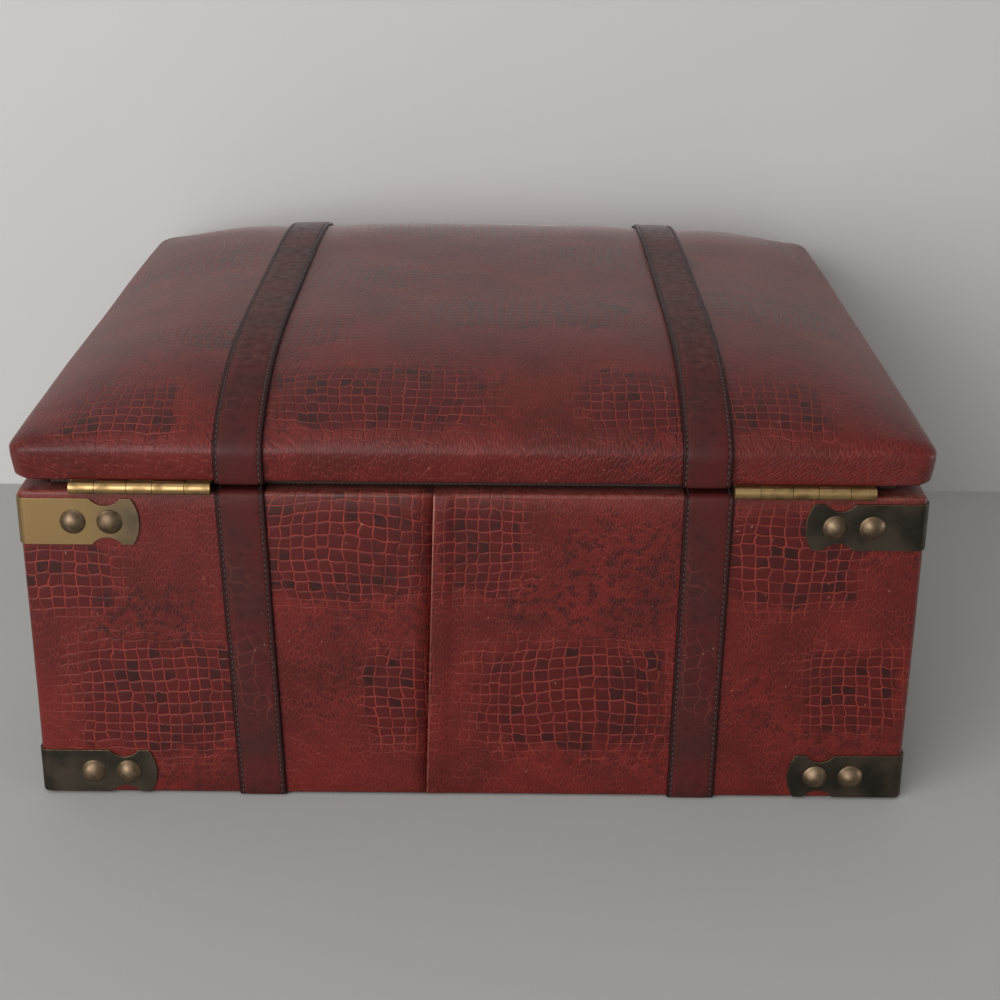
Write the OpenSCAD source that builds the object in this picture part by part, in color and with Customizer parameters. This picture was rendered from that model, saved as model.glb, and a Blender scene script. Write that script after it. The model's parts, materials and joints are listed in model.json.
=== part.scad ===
// A stationery box: a leathercloth box with a padded lid, two straps and brass hinges.
// Millimetres, +Z up. The origin is the centre of the face that the box stands on.
// The hinges are at the back, +Y, and the buckles at the front, -Y.

/* [Box] */
// Outside width of the base, along X
box_w = 330; // [290:1:380]
// Outside depth of the base, along Y
box_d = 310; // [270:1:350]
// Height of the rim above the surface that the box stands on
base_h = 125.2; // [115:0.2:170]
// Thickness of the four wall boards
wall_t = 8; // [7:0.5:10]
// Thickness of the floor board
floor_t = 8; // [5:0.5:12]
// Rounding of the upright corners, outside the covering
corner_r = 3; // [2:0.5:5]

/* [Covering] */
// Thickness of the embossed covering
cover_t = 1; // [0.6:0.1:1.3]
// Rounding of the covering along the rim and the foot
edge_r = 1.4; // [1:0.1:1.8]
// Width of the covering turned in under the base and the lid
turn_w = 16; // [12:1:20]
// Depth of the covering turned down inside the rim
turn_in = 12; // [6:1:20]
// Place of the seam's edge on the back, from the middle
seam_x = 16; // [-40:1:40]
// Width of the overlap at the seam
seam_w = 9; // [6:0.5:14]
// Height of the overlap above the covering
seam_h = 0.5; // [0.3:0.1:0.8]
// Thickness of the felt under the base
felt_t = 0.6; // [0.4:0.1:0.9]
// Distance of the felt's edge from the base's edge
felt_inset = 2.5; // [2:0.5:6]

/* [Lining] */
// Thickness of the lining boards on the walls
lining_t = 1.5; // [1:0.1:2.5]
// Thickness of the pad on the floor
floor_pad_t = 1.5; // [1:0.1:3]
// Thickness of the lining panel under the lid
lid_lining_t = 1.5; // [1:0.1:2]

/* [Lid] */
// Distance that the lid's widest line stands out past the base
lid_overhang = 2; // [1.5:0.1:3]
// Distance that the lid's lower edge lies inside its widest line
edge_in = 1; // [0.4:0.1:1.4]
// Thickness of the lid board
lid_board_t = 8; // [6:0.5:9.5]
// Height of the lid's widest line above its lower face
side_h = 11; // [10:0.5:14]
// Width of the rounded shoulder of the padding
roll_r = 6; // [4:0.5:10]
// Height of the rounded shoulder of the padding
roll_h = 3; // [2:0.5:6]
// Height of the crown of the padding above its shoulder
crown_h = 22; // [14:0.5:26]
// Rounding of the lid's upright corners
lid_r = 7; // [4:0.5:12]

/* [Straps] */
// Width of the straps
strap_w = 18; // [14:0.5:20]
// Thickness of the straps
strap_t = 1.5; // [1.2:0.1:2]
// Thickness of a strap end that is turned over an edge
skive_t = 0.8; // [0.6:0.1:1]
// Distance of each strap's middle from the end of the base
strap_in = 81; // [80.5:0.5:95]
// Length of a strap end turned over the rim or under the lid
rim_lap = 8; // [5:0.5:8.5]
// Length of a strap end turned under the base
foot_lap = 13; // [8:0.5:20]

/* [Corner brackets] */
// Length of a bracket's leg from the corner
bracket_len = 44; // [40:0.5:56]
// Height of a bracket
bracket_h = 18; // [15:0.5:24]
// Thickness of a bracket
bracket_t = 0.8; // [0.6:0.1:1.2]
// Bulge of a leg's end
bracket_bulge = 2.7; // [1:0.1:4]
// Radius of the scallops near a leg's end
notch_r = 6.8; // [5:0.2:8]
// Depth of the scallops
notch_deep = 2.8; // [1:0.1:3]
// Place of the scallops from the corner
notch_s = 31.8; // [28:0.2:34]
// Distance of a top bracket below the rim
bracket_drop = 2.5; // [2:0.1:8]
// Distance of a bottom bracket above the foot
bracket_rise = 0.6; // [0.4:0.1:6]

/* [Nails] */
// Diameter of the nail heads
nail_d = 9.5; // [6:0.1:10]
// Height of the nail heads
nail_dome = 2.8; // [1.5:0.1:3.5]
// Diameter of the nail shanks
nail_shank_d = 1.6; // [1:0.1:2]
// Length of the nail shanks
nail_len = 7; // [5:0.5:8]
// Place of the first nail from the corner
nail_s1 = 19.8; // [16:0.2:22]
// Distance between the two nails
nail_pitch = 13.4; // [11:0.2:14]

/* [Hinges] */
// Distance of each hinge's middle from the end of the base
hinge_in = 45.4; // [40:0.2:45.4]
// Length of a knuckle on the base leaf
knuckle_base = 9.2; // [6:0.1:9.3]
// Length of a knuckle on the lid leaf
knuckle_lid = 11.6; // [6:0.1:11.7]
// Diameter of the barrel
barrel_d = 4.8; // [4:0.1:6]
// Thickness of the leaves
leaf_t = 1.2; // [0.8:0.1:1.4]
// Width of a leaf from the pin's axis
leaf_w = 11; // [9:0.1:11.5]
// Diameter of the pin
pin_d = 2; // [1.5:0.1:2.4]
// Distance of the pin's axis behind the back of the base
axis_out = 2.2; // [1.5:0.1:3]
// Distance between a leaf's screws
screw_pitch = 17; // [12:0.5:18]
// Distance of the screws from the pin's axis
screw_in = 7.2; // [6:0.1:8.4]
// Diameter of the screw shanks
screw_d = 2.2; // [1.6:0.1:2.4]
// Diameter of the screw heads
screw_head_d = 4.2; // [3.4:0.1:4.4]
// Length of the screws
screw_len = 8; // [6:0.5:8.5]

/* [Buckles] */
// Height of the buckle's outer bar
bar_top_z = 117.5; // [108:0.5:118]
// Distance from the outer bar to the heel bar
bar_pitch = 20; // [18:0.5:24]
// Diameter of the buckle's wire
bar_d = 2.4; // [2:0.1:3]
// Bend radius of the buckle's corners, at the middle of the wire
frame_r = 2.6; // [2:0.1:4]
// Room on each side of the strap in the buckle
frame_play = 0.6; // [0.3:0.1:1.5]
// Diameter of the prong
prong_d = 1.8; // [1.4:0.1:2.2]
// Width of the prong's eye on the heel bar
prong_eye_w = 3.4; // [2.4:0.1:4]
// Thickness of the tab that holds the buckle
tab_t = 1.2; // [1:0.1:1.5]
// Length of the tab below the heel bar
tab_len = 26; // [22:0.5:30]
// Length of the tongue's tip below the tab
tip_len = 8; // [4:0.5:14]
// Length of the tongue's pointed end
point_len = 9; // [5:0.5:14]
// Width of the keeper
keeper_w = 6; // [4:0.5:8]
// Thickness of the keeper
keeper_t = 1; // [0.8:0.1:1.4]
// Distance of the keeper below the heel bar
keeper_drop = 10; // [9:0.5:14]
// Diameter of the hidden magnet
magnet_d = 12; // [8:0.5:14]
// Height of the magnet above the end of the tab
magnet_up = 8; // [7.5:0.5:10]
// Thickness of the hidden plate that the magnet holds
strike_t = 0.8; // [0.5:0.1:1]
// Distance that the hidden plate reaches past the magnet
strike_over = 0.5; // [0.2:0.1:1]

/* [Clearances] */
// Room on each side of the prong in its slot
slot_play = 0.4; // [0.2:0.1:0.8]
// Room on each side of the prong's eye in the tab
eye_play = 0.2; // [0.1:0.05:0.4]
// Clearance between pieces that are fixed to each other
fit = 0.05; // [0.02:0.01:0.1]
// Clearance between soft pieces that lie on each other
soft_gap = 0.3; // [0.2:0.05:0.4]
// Clearance between the foam and the covering over it
foam_gap = 0.2; // [0.15:0.05:0.3]
// Clearance between neighbouring knuckles
knuckle_gap = 0.2; // [0.1:0.05:0.4]
// Radial clearance of the pin in its knuckles
pin_fit = 0.04; // [0.02:0.01:0.08]

/* [Hidden] */
$fn = 48;

// Heights, from the surface that the box stands on
foot_z = felt_t;
wood_z0 = foot_z + cover_t;
wood_z1 = base_h - cover_t;
floor_z1 = wood_z0 + floor_t;
axis_z = base_h + barrel_d / 2;
lid_z0 = base_h + barrel_d;
board_z0 = lid_z0 + cover_t;
widest_z = lid_z0 + side_h;
lining_z1 = lid_z0 - lid_lining_t - soft_gap;
bracket_z_top = base_h - bracket_drop - bracket_h / 2;
bracket_z_low = foot_z + bracket_rise + bracket_h / 2;

// Distances in from the base's outer faces
wood_in = cover_t + wall_t;
lining_in = wood_in + cover_t + fit;
room_in = lining_in + lining_t;

// Half sizes of the base and of the lid's widest outline
half_w = box_w / 2;
half_d = box_d / 2;
strap_x = half_w - strap_in;
hinge_x = half_w - hinge_in;
lid_hx = half_w + lid_overhang;
lid_hy = half_d + lid_overhang;
board_in = edge_in + cover_t + fit;
turned_in = edge_in + turn_w;

// Pin, hinge and screw sizes
axis_y = half_d + axis_out;
hinge_l = 3 * knuckle_base + 2 * knuckle_lid;
barrel_r = barrel_d / 2;
leaf_lap = barrel_r / 8;

// Distances out from the front of the base, through the buckle's layers
tab_n = strap_t + soft_gap;
heel_n = tab_n + tab_t + fit + bar_d / 2;
heel_z = bar_top_z - bar_pitch;
loop_r = bar_d / 2 + fit + tab_t;
tongue_top_n = lid_overhang + soft_gap + strap_t / 2;
bar_top_n = tongue_top_n + strap_t / 2 + fit + bar_d / 2;
tongue_over_n = heel_n + loop_r + fit + strap_t / 2;
tab_front_n = tab_n + tab_t + fit + tab_t / 2;
tongue_low_n = tab_front_n + tab_t / 2 + fit + strap_t / 2;
tab_z0 = heel_z - tab_len;
tip_z = tab_z0 - tip_len;
magnet_z = tab_z0 + magnet_up;
strap_hw = strap_w / 2;
strike_d = magnet_d + 2 * strike_over;

// Height above the keeper at which the tongue lies flat
flat_above = 1;

// Depth of the prong's eye below the tab's surface
eye_below = 0.15;

// How far a cutting shape reaches past the face that it cuts
cut_past = 1;

// Steps of the curves
arc_n = 6;
blend_n = 8;

// Points per corner and per side of the lid's outlines, and steps of its section
lid_corner_n = 3;
lid_side_n = 7;
side_steps = 2;
roll_steps = 2;
top_steps = 7;
crown_power = 5;
corner_growth = 0.5;

// How closely the points of the lid's sides and top crowd towards its edges
side_bunch = 0.08;
top_bunch = 1.7;

// Half depth of the last ring, in the middle of the top, and the straight part that its corners leave
ridge_half = 12;
ridge_flat = 4;

// Corners of the board and of the lining's core, rounder than the covering's beside them
board_r = 1.4 * lid_r;
core_r = 2 * (lid_r + corner_growth * turned_in);
hem_r = 0.8;

// Points of an arc in a plane
function arc(c, r, a0, a1, n = arc_n) =
    [for (i = [0 : n]) let (a = a0 + (a1 - a0) * i / n) c + r * [cos(a), sin(a)]];

// Smooth step from 0 to 1
function ease(u) = u * u * (3 - 2 * u);

// Points of a smooth change of distance v0 to v1 between heights z0 and z1
function ease_path(v0, z0, v1, z1, n = blend_n) =
    [for (i = [0 : n]) [v0 + (v1 - v0) * ease(i / n), z0 + (z1 - z0) * i / n]];

// Left-hand normal of the path at point i, lengthened where the path turns
function unit(v) = v / norm(v);
function turn_left(v) = [-v.y, v.x];
function step_dir(p, i) = unit(p[min(i + 1, len(p) - 1)] - p[min(i, len(p) - 2)]);
function path_normal(p, i) =
    let (
        a = turn_left(step_dir(p, max(i - 1, 0))),
        b = turn_left(step_dir(p, i)),
        m = unit(a + b)
    )
    m / (m * a);

// Outline of a strip that follows a path, from distance t0 to t1 left of it
function strip(p, t0, t1) = concat(
    [for (i = [0 : len(p) - 1]) p[i] + path_normal(p, i) * t1[i]],
    [for (i = [len(p) - 1 : -1 : 0]) p[i] + path_normal(p, i) * t0[i]]
);
function same(p, t) = [for (q = p) t];

// Outline of a rectangle with round corners, centred
module round_rect(w, d, r) {
    square([w - 2 * r, d], center = true);
    square([w, d - 2 * r], center = true);
    for (x = [-1, 1], y = [-1, 1]) {
        translate([x * (w / 2 - r), y * (d / 2 - r)])
            circle(r);
    }
}

// Plan of the base, drawn in by a distance
module base_plan(inset) {
    round_rect(box_w - 2 * inset, box_d - 2 * inset, corner_r - inset);
}

// A shape in the plane of depth and height, drawn out along X
module along_x(w) {
    rotate([90, 0, 90])
        linear_extrude(w, center = true)
            children();
}

// Puts a shape at a place out from the front of the base: x, distance out, height
module at_front(x) {
    translate([x, -half_d, 0])
        rotate([0, 0, 180])
            children();
}

// Puts a shape at each nail of one wall, its +Z pointing out of the wall
module at_nails(wall) {
    for (side = [-1, 1], z = [bracket_z_low, bracket_z_top], s = [nail_s1, nail_s1 + nail_pitch]) {
        if (wall == "front") translate([side * (half_w - s), -half_d, z]) rotate([90, 0, 0]) children();
        if (wall == "back") translate([side * (half_w - s), half_d, z]) rotate([-90, 0, 0]) children();
        if (wall == "left") translate([-half_w, side * (half_d - s), z]) rotate([0, -90, 0]) children();
        if (wall == "right") translate([half_w, side * (half_d - s), z]) rotate([0, 90, 0]) children();
    }
}

// Hole for a nail's shank, through the bracket, the covering and into the board
module nail_hole() {
    translate([0, 0, bracket_t - nail_len - fit])
        cylinder(h = nail_len + bracket_t + cut_past, d = nail_shank_d + 2 * fit);
}

// Puts a shape at each screw of one hinge, at the height of the pin's axis
module at_screws(x) {
    for (i = [-1 : 1]) {
        translate([x + i * screw_pitch, axis_y - screw_in, axis_z])
            children();
    }
}

// Hole for a screw's shank, down from the base leaf's seat
module screw_hole() {
    translate([0, 0, -screw_len - barrel_r])
        cylinder(h = screw_len + barrel_r, d = screw_d + 2 * fit);
}

// Wall boards
module wide_panel(wall, side) {
    difference() {
        translate([0, 0, wood_z0])
            linear_extrude(wood_z1 - wood_z0)
                intersection() {
                    base_plan(cover_t);
                    translate([0, side * (half_d - wood_in + wall_t / 2)])
                        square([box_w, wall_t], center = true);
                }
        at_nails(wall)
            nail_hole();
        if (wall == "back") {
            for (x = [-hinge_x, hinge_x]) {
                at_screws(x)
                    screw_hole();
            }
        }
    }
}

module side_panel(wall, side) {
    difference() {
        translate([side * (half_w - wood_in + wall_t / 2), 0, (wood_z0 + wood_z1) / 2])
            cube([wall_t, box_d - 2 * wood_in, wood_z1 - wood_z0], center = true);
        at_nails(wall)
            nail_hole();
    }
}

module front_panel() { color("burlywood") wide_panel("front", -1); }
module back_panel() { color("burlywood") wide_panel("back", 1); }
module left_panel() { color("burlywood") side_panel("left", -1); }
module right_panel() { color("burlywood") side_panel("right", 1); }

module floor_panel() {
    color("burlywood")
        translate([0, 0, wood_z0 + floor_t / 2])
            cube([box_w - 2 * wood_in, box_d - 2 * wood_in, floor_t], center = true);
}

// Section of the covering round a wall board: distance out from the face, height
wrap_section = concat(
    [[-corner_r, foot_z]],
    arc([-edge_r, foot_z + edge_r], edge_r, -90, 0),
    arc([-edge_r, base_h - edge_r], edge_r, 0, 90),
    [
        [-corner_r, base_h], [-corner_r, wood_z1], [-cover_t, wood_z1],
        [-cover_t, wood_z0], [-corner_r, wood_z0]
    ]
);

// Flat band of covering in from the corners' centres
module turned_band(width) {
    linear_extrude(cover_t)
        difference() {
            square([box_w - 2 * corner_r, box_d - 2 * corner_r], center = true);
            square([box_w - 2 * width, box_d - 2 * width], center = true);
        }
}

module wrap() {
    for (side = [-1, 1]) {
        rotate([0, 0, side * 90])
            translate([0, half_w, 0])
                along_x(box_d - 2 * corner_r)
                    polygon(wrap_section);
        rotate([0, 0, 90 - side * 90])
            translate([0, half_d, 0])
                along_x(box_w - 2 * corner_r)
                    polygon(wrap_section);
    }
    for (x = [0, 1], y = [0, 1]) {
        mirror([x, 0, 0])
            mirror([0, y, 0])
                translate([half_w - corner_r, half_d - corner_r, 0])
                    rotate_extrude(angle = 90)
                        polygon([for (p = wrap_section) [max(0, p[0] + corner_r), p[1]]]);
    }
    translate([0, 0, foot_z])
        turned_band(turn_w);
    translate([0, 0, wood_z1])
        turned_band(wood_in + cover_t);
    translate([0, 0, base_h - turn_in])
        linear_extrude(turn_in)
            difference() {
                square([box_w - 2 * wood_in, box_d - 2 * wood_in], center = true);
                square([box_w - 2 * wood_in - 2 * cover_t, box_d - 2 * wood_in - 2 * cover_t], center = true);
            }
    translate([seam_x - seam_w, half_d - cover_t / 2, foot_z + edge_r])
        cube([seam_w, cover_t / 2 + seam_h, base_h - foot_z - 2 * edge_r]);
}

module base_cover() {
    color("firebrick")
        difference() {
            wrap();
            for (wall = ["front", "back", "left", "right"]) {
                at_nails(wall)
                    nail_hole();
            }
            for (x = [-hinge_x, hinge_x]) {
                at_screws(x)
                    screw_hole();
            }
        }
}

// Felt, stepped up inside the turned-in covering and notched for the strap ends
module base_felt() {
    color("dimgray") {
        linear_extrude(felt_t)
            difference() {
                base_plan(felt_inset);
                for (x = [-strap_x, strap_x], side = [-1, 1]) {
                    translate([x, side * half_d])
                        square([strap_w + 2 * soft_gap, 2 * (foot_lap + soft_gap)], center = true);
                }
            }
        translate([0, 0, felt_t / 2])
            linear_extrude(felt_t / 2 + cover_t)
                square([box_w - 2 * turn_w - 2 * fit, box_d - 2 * turn_w - 2 * fit], center = true);
    }
}

// Lining boards stand on the floor board and carry the closed lid above the rim
module lining_wide(side) {
    translate([0, side * (half_d - lining_in - lining_t / 2), (floor_z1 + lining_z1) / 2])
        cube([box_w - 2 * lining_in, lining_t, lining_z1 - floor_z1], center = true);
}

module lining_side(side) {
    translate([side * (half_w - lining_in - lining_t / 2), 0, (floor_z1 + lining_z1) / 2])
        cube([lining_t, box_d - 2 * room_in, lining_z1 - floor_z1], center = true);
}

module lining_front() { color("wheat") lining_wide(-1); }
module lining_back() { color("wheat") lining_wide(1); }
module lining_left() { color("wheat") lining_side(-1); }
module lining_right() { color("wheat") lining_side(1); }

module floor_pad() {
    color("wheat")
        translate([0, 0, floor_z1 + floor_pad_t / 2])
            cube([box_w - 2 * room_in - 2 * fit, box_d - 2 * room_in - 2 * fit, floor_pad_t], center = true);
}

// Strap on the base, from its end on the rim, down the wall and under the foot
strap_seat = concat(
    [[-rim_lap, base_h]],
    arc([-edge_r, base_h - edge_r], edge_r, 90, 0),
    arc([-edge_r, foot_z + edge_r], edge_r, 0, -90),
    [[-foot_lap, foot_z]]
);
strap_thick = concat(
    [skive_t],
    [for (i = [0 : arc_n]) skive_t + (strap_t - skive_t) * i / arc_n],
    [for (i = [0 : arc_n]) strap_t + (felt_t - strap_t) * i / arc_n],
    [felt_t]
);

module base_strap() {
    along_x(strap_w)
        polygon(strip(strap_seat, same(strap_seat, 0), strap_thick));
}

module back_strap(x) {
    translate([x, half_d, 0])
        base_strap();
}

module front_strap(x) {
    difference() {
        at_front(x)
            base_strap();
        translate([x, -half_d - strap_t + strike_t, magnet_z])
            rotate([90, 0, 0])
                cylinder(h = strike_t + cut_past, d = strike_d + 2 * fit);
    }
}

module back_strap_left() { color("maroon") back_strap(-strap_x); }
module back_strap_right() { color("maroon") back_strap(strap_x); }
module front_strap_left() { color("maroon") front_strap(-strap_x); }
module front_strap_right() { color("maroon") front_strap(strap_x); }

// Hidden steel plate, let in flush with the front strap
module strike_plate(x) {
    translate([x, -half_d - strap_t + strike_t, magnet_z])
        rotate([90, 0, 0])
            cylinder(h = strike_t, d = strike_d);
}

module strike_plate_left() { color("silver") strike_plate(-strap_x); }
module strike_plate_right() { color("silver") strike_plate(strap_x); }

// Leg of a corner bracket: distance from the corner, height from its middle
bracket_end_r = (bracket_h * bracket_h / 4 + bracket_bulge * bracket_bulge) / (2 * bracket_bulge);
bracket_end_a = asin(bracket_h / 2 / bracket_end_r);

module bracket_leg() {
    difference() {
        polygon(concat(
            [[corner_r, -bracket_h / 2]],
            arc([bracket_len - bracket_end_r, 0], bracket_end_r, -bracket_end_a, bracket_end_a, 2 * arc_n),
            [[corner_r, bracket_h / 2]]
        ));
        for (side = [-1, 1]) {
            translate([notch_s, side * (bracket_h / 2 + notch_r - notch_deep)])
                circle(notch_r);
        }
        for (s = [nail_s1, nail_s1 + nail_pitch]) {
            translate([s, 0])
                circle(d = nail_shank_d + 2 * fit);
        }
    }
}

// Corner bracket: two legs and the bend between them, for the corner at +X and +Y
module bracket_form() {
    translate([half_w, half_d, 0]) {
        rotate([90, 0, 180])
            linear_extrude(bracket_t)
                bracket_leg();
        translate([bracket_t, 0, 0])
            rotate([90, 0, -90])
                linear_extrude(bracket_t)
                    bracket_leg();
        translate([-corner_r, -corner_r, -bracket_h / 2])
            rotate_extrude(angle = 90)
                translate([corner_r, 0])
                    square([bracket_t, bracket_h]);
    }
}

module bracket(x, y, z) {
    color("darkolivegreen")
        mirror([1 - x, 0, 0])
            mirror([0, 1 - y, 0])
                translate([0, 0, z])
                    bracket_form();
}

module bracket_back_left_top() { bracket(0, 1, bracket_z_top); }
module bracket_back_right_top() { bracket(1, 1, bracket_z_top); }
module bracket_back_left_bottom() { bracket(0, 1, bracket_z_low); }
module bracket_back_right_bottom() { bracket(1, 1, bracket_z_low); }
module bracket_front_left_top() { bracket(0, 0, bracket_z_top); }
module bracket_front_right_top() { bracket(1, 0, bracket_z_top); }
module bracket_front_left_bottom() { bracket(0, 0, bracket_z_low); }
module bracket_front_right_bottom() { bracket(1, 0, bracket_z_low); }

// Nail with a domed head and a pointed shank
dome_r = (nail_d * nail_d / 4 + nail_dome * nail_dome) / (2 * nail_dome);

module nail() {
    translate([0, 0, bracket_t]) {
        intersection() {
            translate([0, 0, nail_dome - dome_r])
                sphere(dome_r);
            cylinder(h = nail_dome + cut_past, r = nail_d);
        }
        translate([0, 0, -nail_len])
            cylinder(h = nail_shank_d, r1 = 0, r2 = nail_shank_d / 2);
        translate([0, 0, -nail_len + nail_shank_d])
            cylinder(h = nail_len - nail_shank_d / 2, r = nail_shank_d / 2);
    }
}

module corner_nails() {
    color("darkkhaki")
        for (wall = ["front", "back", "left", "right"]) {
            at_nails(wall)
                nail();
        }
}

// Places of a leaf's knuckles along the pin, as start and end
function knuckles(leaf) =
    leaf == "base"
        ? [for (i = [0 : 2]) let (s = i * (knuckle_base + knuckle_lid)) [s, s + knuckle_base]]
        : [for (i = [0 : 1]) let (s = knuckle_base + i * (knuckle_base + knuckle_lid)) [s, s + knuckle_lid]];

// Leaf below the pin's axis, with its knuckles, lying from the axis towards -Y
module hinge_leaf(leaf) {
    other = leaf == "base" ? "lid" : "base";
    half = hinge_l / 2;
    difference() {
        union() {
            translate([-half, -leaf_w, -barrel_r])
                cube([hinge_l, leaf_w - leaf_lap, leaf_t]);
            for (k = knuckles(leaf)) {
                translate([k[0] - half, 0, 0])
                    rotate([0, 90, 0])
                        cylinder(h = k[1] - k[0], r = barrel_r);
            }
        }
        for (k = knuckles(other)) {
            translate([k[0] - half - knuckle_gap / 2, -barrel_r - knuckle_gap, -2 * barrel_r])
                cube([k[1] - k[0] + knuckle_gap, 2 * barrel_d, 2 * barrel_d]);
        }
        translate([-half - cut_past, 0, 0])
            rotate([0, 90, 0])
                cylinder(h = hinge_l + 2 * cut_past, d = pin_d + 2 * pin_fit);
        for (i = [-1 : 1]) {
            translate([i * screw_pitch, -screw_in, -barrel_r - cut_past])
                cylinder(h = leaf_t + 2 * cut_past, d = screw_d + 2 * fit);
            translate([i * screw_pitch, -screw_in, -barrel_r])
                cylinder(h = leaf_t + fit, d1 = screw_d + 2 * fit, d2 = screw_head_d + 3 * fit);
        }
    }
}

module base_leaf(x) {
    color("goldenrod")
        translate([x, axis_y, axis_z])
            hinge_leaf("base");
}

module lid_leaf(x) {
    color("goldenrod")
        translate([x, axis_y, axis_z])
            mirror([0, 0, 1])
                hinge_leaf("lid");
}

module hinge_pin(x) {
    color("goldenrod")
        translate([x - hinge_l / 2, axis_y, axis_z])
            rotate([0, 90, 0])
                cylinder(h = hinge_l, d = pin_d);
}

module hinge_base_leaf_left() { base_leaf(-hinge_x); }
module hinge_base_leaf_right() { base_leaf(hinge_x); }
module hinge_lid_leaf_left() { lid_leaf(-hinge_x); }
module hinge_lid_leaf_right() { lid_leaf(hinge_x); }
module hinge_pin_left() { hinge_pin(-hinge_x); }
module hinge_pin_right() { hinge_pin(hinge_x); }

// Countersunk screw, its head flush with the base leaf's upper face
module screw() {
    translate([0, 0, -barrel_r + leaf_t])
        rotate_extrude()
            polygon([
                [0, 0], [screw_head_d / 2, 0], [screw_d / 2, -leaf_t], [screw_d / 2, -screw_len + screw_d],
                [0, -screw_len]
            ]);
}

module hinge_base_screws() {
    color("gold")
        for (x = [-hinge_x, hinge_x]) {
            at_screws(x)
                screw();
        }
}

module hinge_lid_screws() {
    color("gold")
        for (x = [-hinge_x, hinge_x]) {
            at_screws(x)
                mirror([0, 0, 1])
                    screw();
        }
}

// Plan of the lid's board, with room for the covering round its edge
module lid_board() {
    color("burlywood")
        difference() {
            translate([0, 0, board_z0])
                linear_extrude(lid_board_t)
                    round_rect(2 * (lid_hx - board_in), 2 * (lid_hy - board_in), board_r);
            for (x = [-hinge_x, hinge_x]) {
                at_screws(x)
                    mirror([0, 0, 1])
                        screw_hole();
            }
        }
}

module lid_lining() {
    color("wheat") {
        translate([0, 0, lid_z0 - lid_lining_t / 2])
            cube([box_w - 2 * lining_in, box_d - 2 * lining_in, lid_lining_t], center = true);
        translate([0, 0, lid_z0 - lid_lining_t / 2])
            linear_extrude(lid_lining_t / 2 + cover_t)
                round_rect(2 * (lid_hx - turned_in - fit), 2 * (lid_hy - turned_in - fit), core_r);
    }
}

// Rise of the padding's crown above its shoulder
function crown(x, y) =
    crown_h * (1 - pow(min(abs(x) / lid_hx, 1), crown_power)) * (1 - pow(min(abs(y) / lid_hy, 1), crown_power));

// Section of the lid from its hem to its middle.
// Each row is: distance in, height, outward and upward parts of the normal, share of crown
hem_rows = [[edge_in + hem_r, lid_z0, 0, -1, 0], [edge_in, lid_z0 + hem_r, 1, 0, 0]];
side_rows = [
    for (i = [1 : side_steps])
        let (t = i / side_steps)
            [edge_in * (1 - sin(90 * t)), lid_z0 + side_h * t, 1, 0, 0]
];
roll_rows = [
    for (i = [1 : roll_steps])
        let (a = 90 * i / roll_steps, m = unit([cos(a) / roll_r, sin(a) / roll_h]))
            [roll_r * (1 - cos(a)), widest_z + roll_h * sin(a), m.x, m.y, 1]
];
top_rows = [
    for (i = [1 : top_steps])
        [roll_r + (lid_hy - ridge_half - roll_r) * pow(i / top_steps, top_bunch), widest_z + roll_h, 0, 1, 1]
];

// Outline with round corners as a list of points, the same number for every outline
function corner_points(cx, cy, r, a0) =
    [for (i = [0 : lid_corner_n - 1]) let (a = a0 + 90 * i / (lid_corner_n - 1)) [cx + r * cos(a), cy + r * sin(a)]];
function side_share(t) = t - side_bunch * sin(360 * t);
function side_points(p, q) = [for (i = [1 : lid_side_n]) p + (q - p) * side_share(i / (lid_side_n + 1))];
function outline(hx, hy, r) = concat(
    corner_points(hx - r, hy - r, r, 0),
    side_points([hx - r, hy], [r - hx, hy]),
    corner_points(r - hx, hy - r, r, 90),
    side_points([-hx, hy - r], [-hx, r - hy]),
    corner_points(r - hx, r - hy, r, 180),
    side_points([r - hx, -hy], [hx - r, -hy]),
    corner_points(hx - r, r - hy, r, 270),
    side_points([hx, r - hy], [hx, hy - r])
);

// Ring of the lid's surface at a row of its section, sunk into it by a depth
function lid_ring(row, deep) =
    let (
        hx = lid_hx - row[0] - deep * row[2],
        hy = lid_hy - row[0] - deep * row[2],
        r = min(lid_r + corner_growth * row[0] - deep * row[2], hy - ridge_flat)
    )
    [for (p = outline(hx, hy, r)) [p.x, p.y, row[1] - deep * row[3] + row[4] * crown(p.x, p.y)]];

function reversed(v) = [for (i = [len(v) - 1 : -1 : 0]) v[i]];

// Middle of a ring's points
function middle(ring) = [for (p = ring) 1] * ring / len(ring);

// Closed body through a row of rings, with a cap at each end that fans out from its middle.
// Its quads are split along the other diagonal where it lines a body whose rings run the other way.
module ring_body(rings, lines_other = false) {
    n = len(rings[0]);
    last = (len(rings) - 1) * n;
    caps = len(rings) * n;
    polyhedron(
        points = concat([for (r = rings, p = r) p], [middle(rings[0]), middle(rings[len(rings) - 1])]),
        faces = concat(
            [
                for (i = [0 : len(rings) - 2], j = [0 : n - 1])
                    let (a = i * n + j, b = i * n + (j + 1) % n)
                        each lines_other ? [[a, b, a + n], [b, b + n, a + n]] : [[a, b, b + n], [a, b + n, a + n]]
            ],
            [for (j = [0 : n - 1]) [caps, (j + 1) % n, j]],
            [for (j = [0 : n - 1]) [caps + 1, last + j, last + (j + 1) % n]]
        )
    );
}

// Foam pad on the board, under the covering
module lid_foam() {
    foam_rows = concat([[0, board_z0 + lid_board_t, 1, 0, 0], [0, widest_z, 1, 0, 0]], roll_rows, top_rows);
    color("linen")
        ring_body([for (row = reversed(foam_rows)) lid_ring(row, cover_t + foam_gap)], lines_other = true);
}

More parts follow.
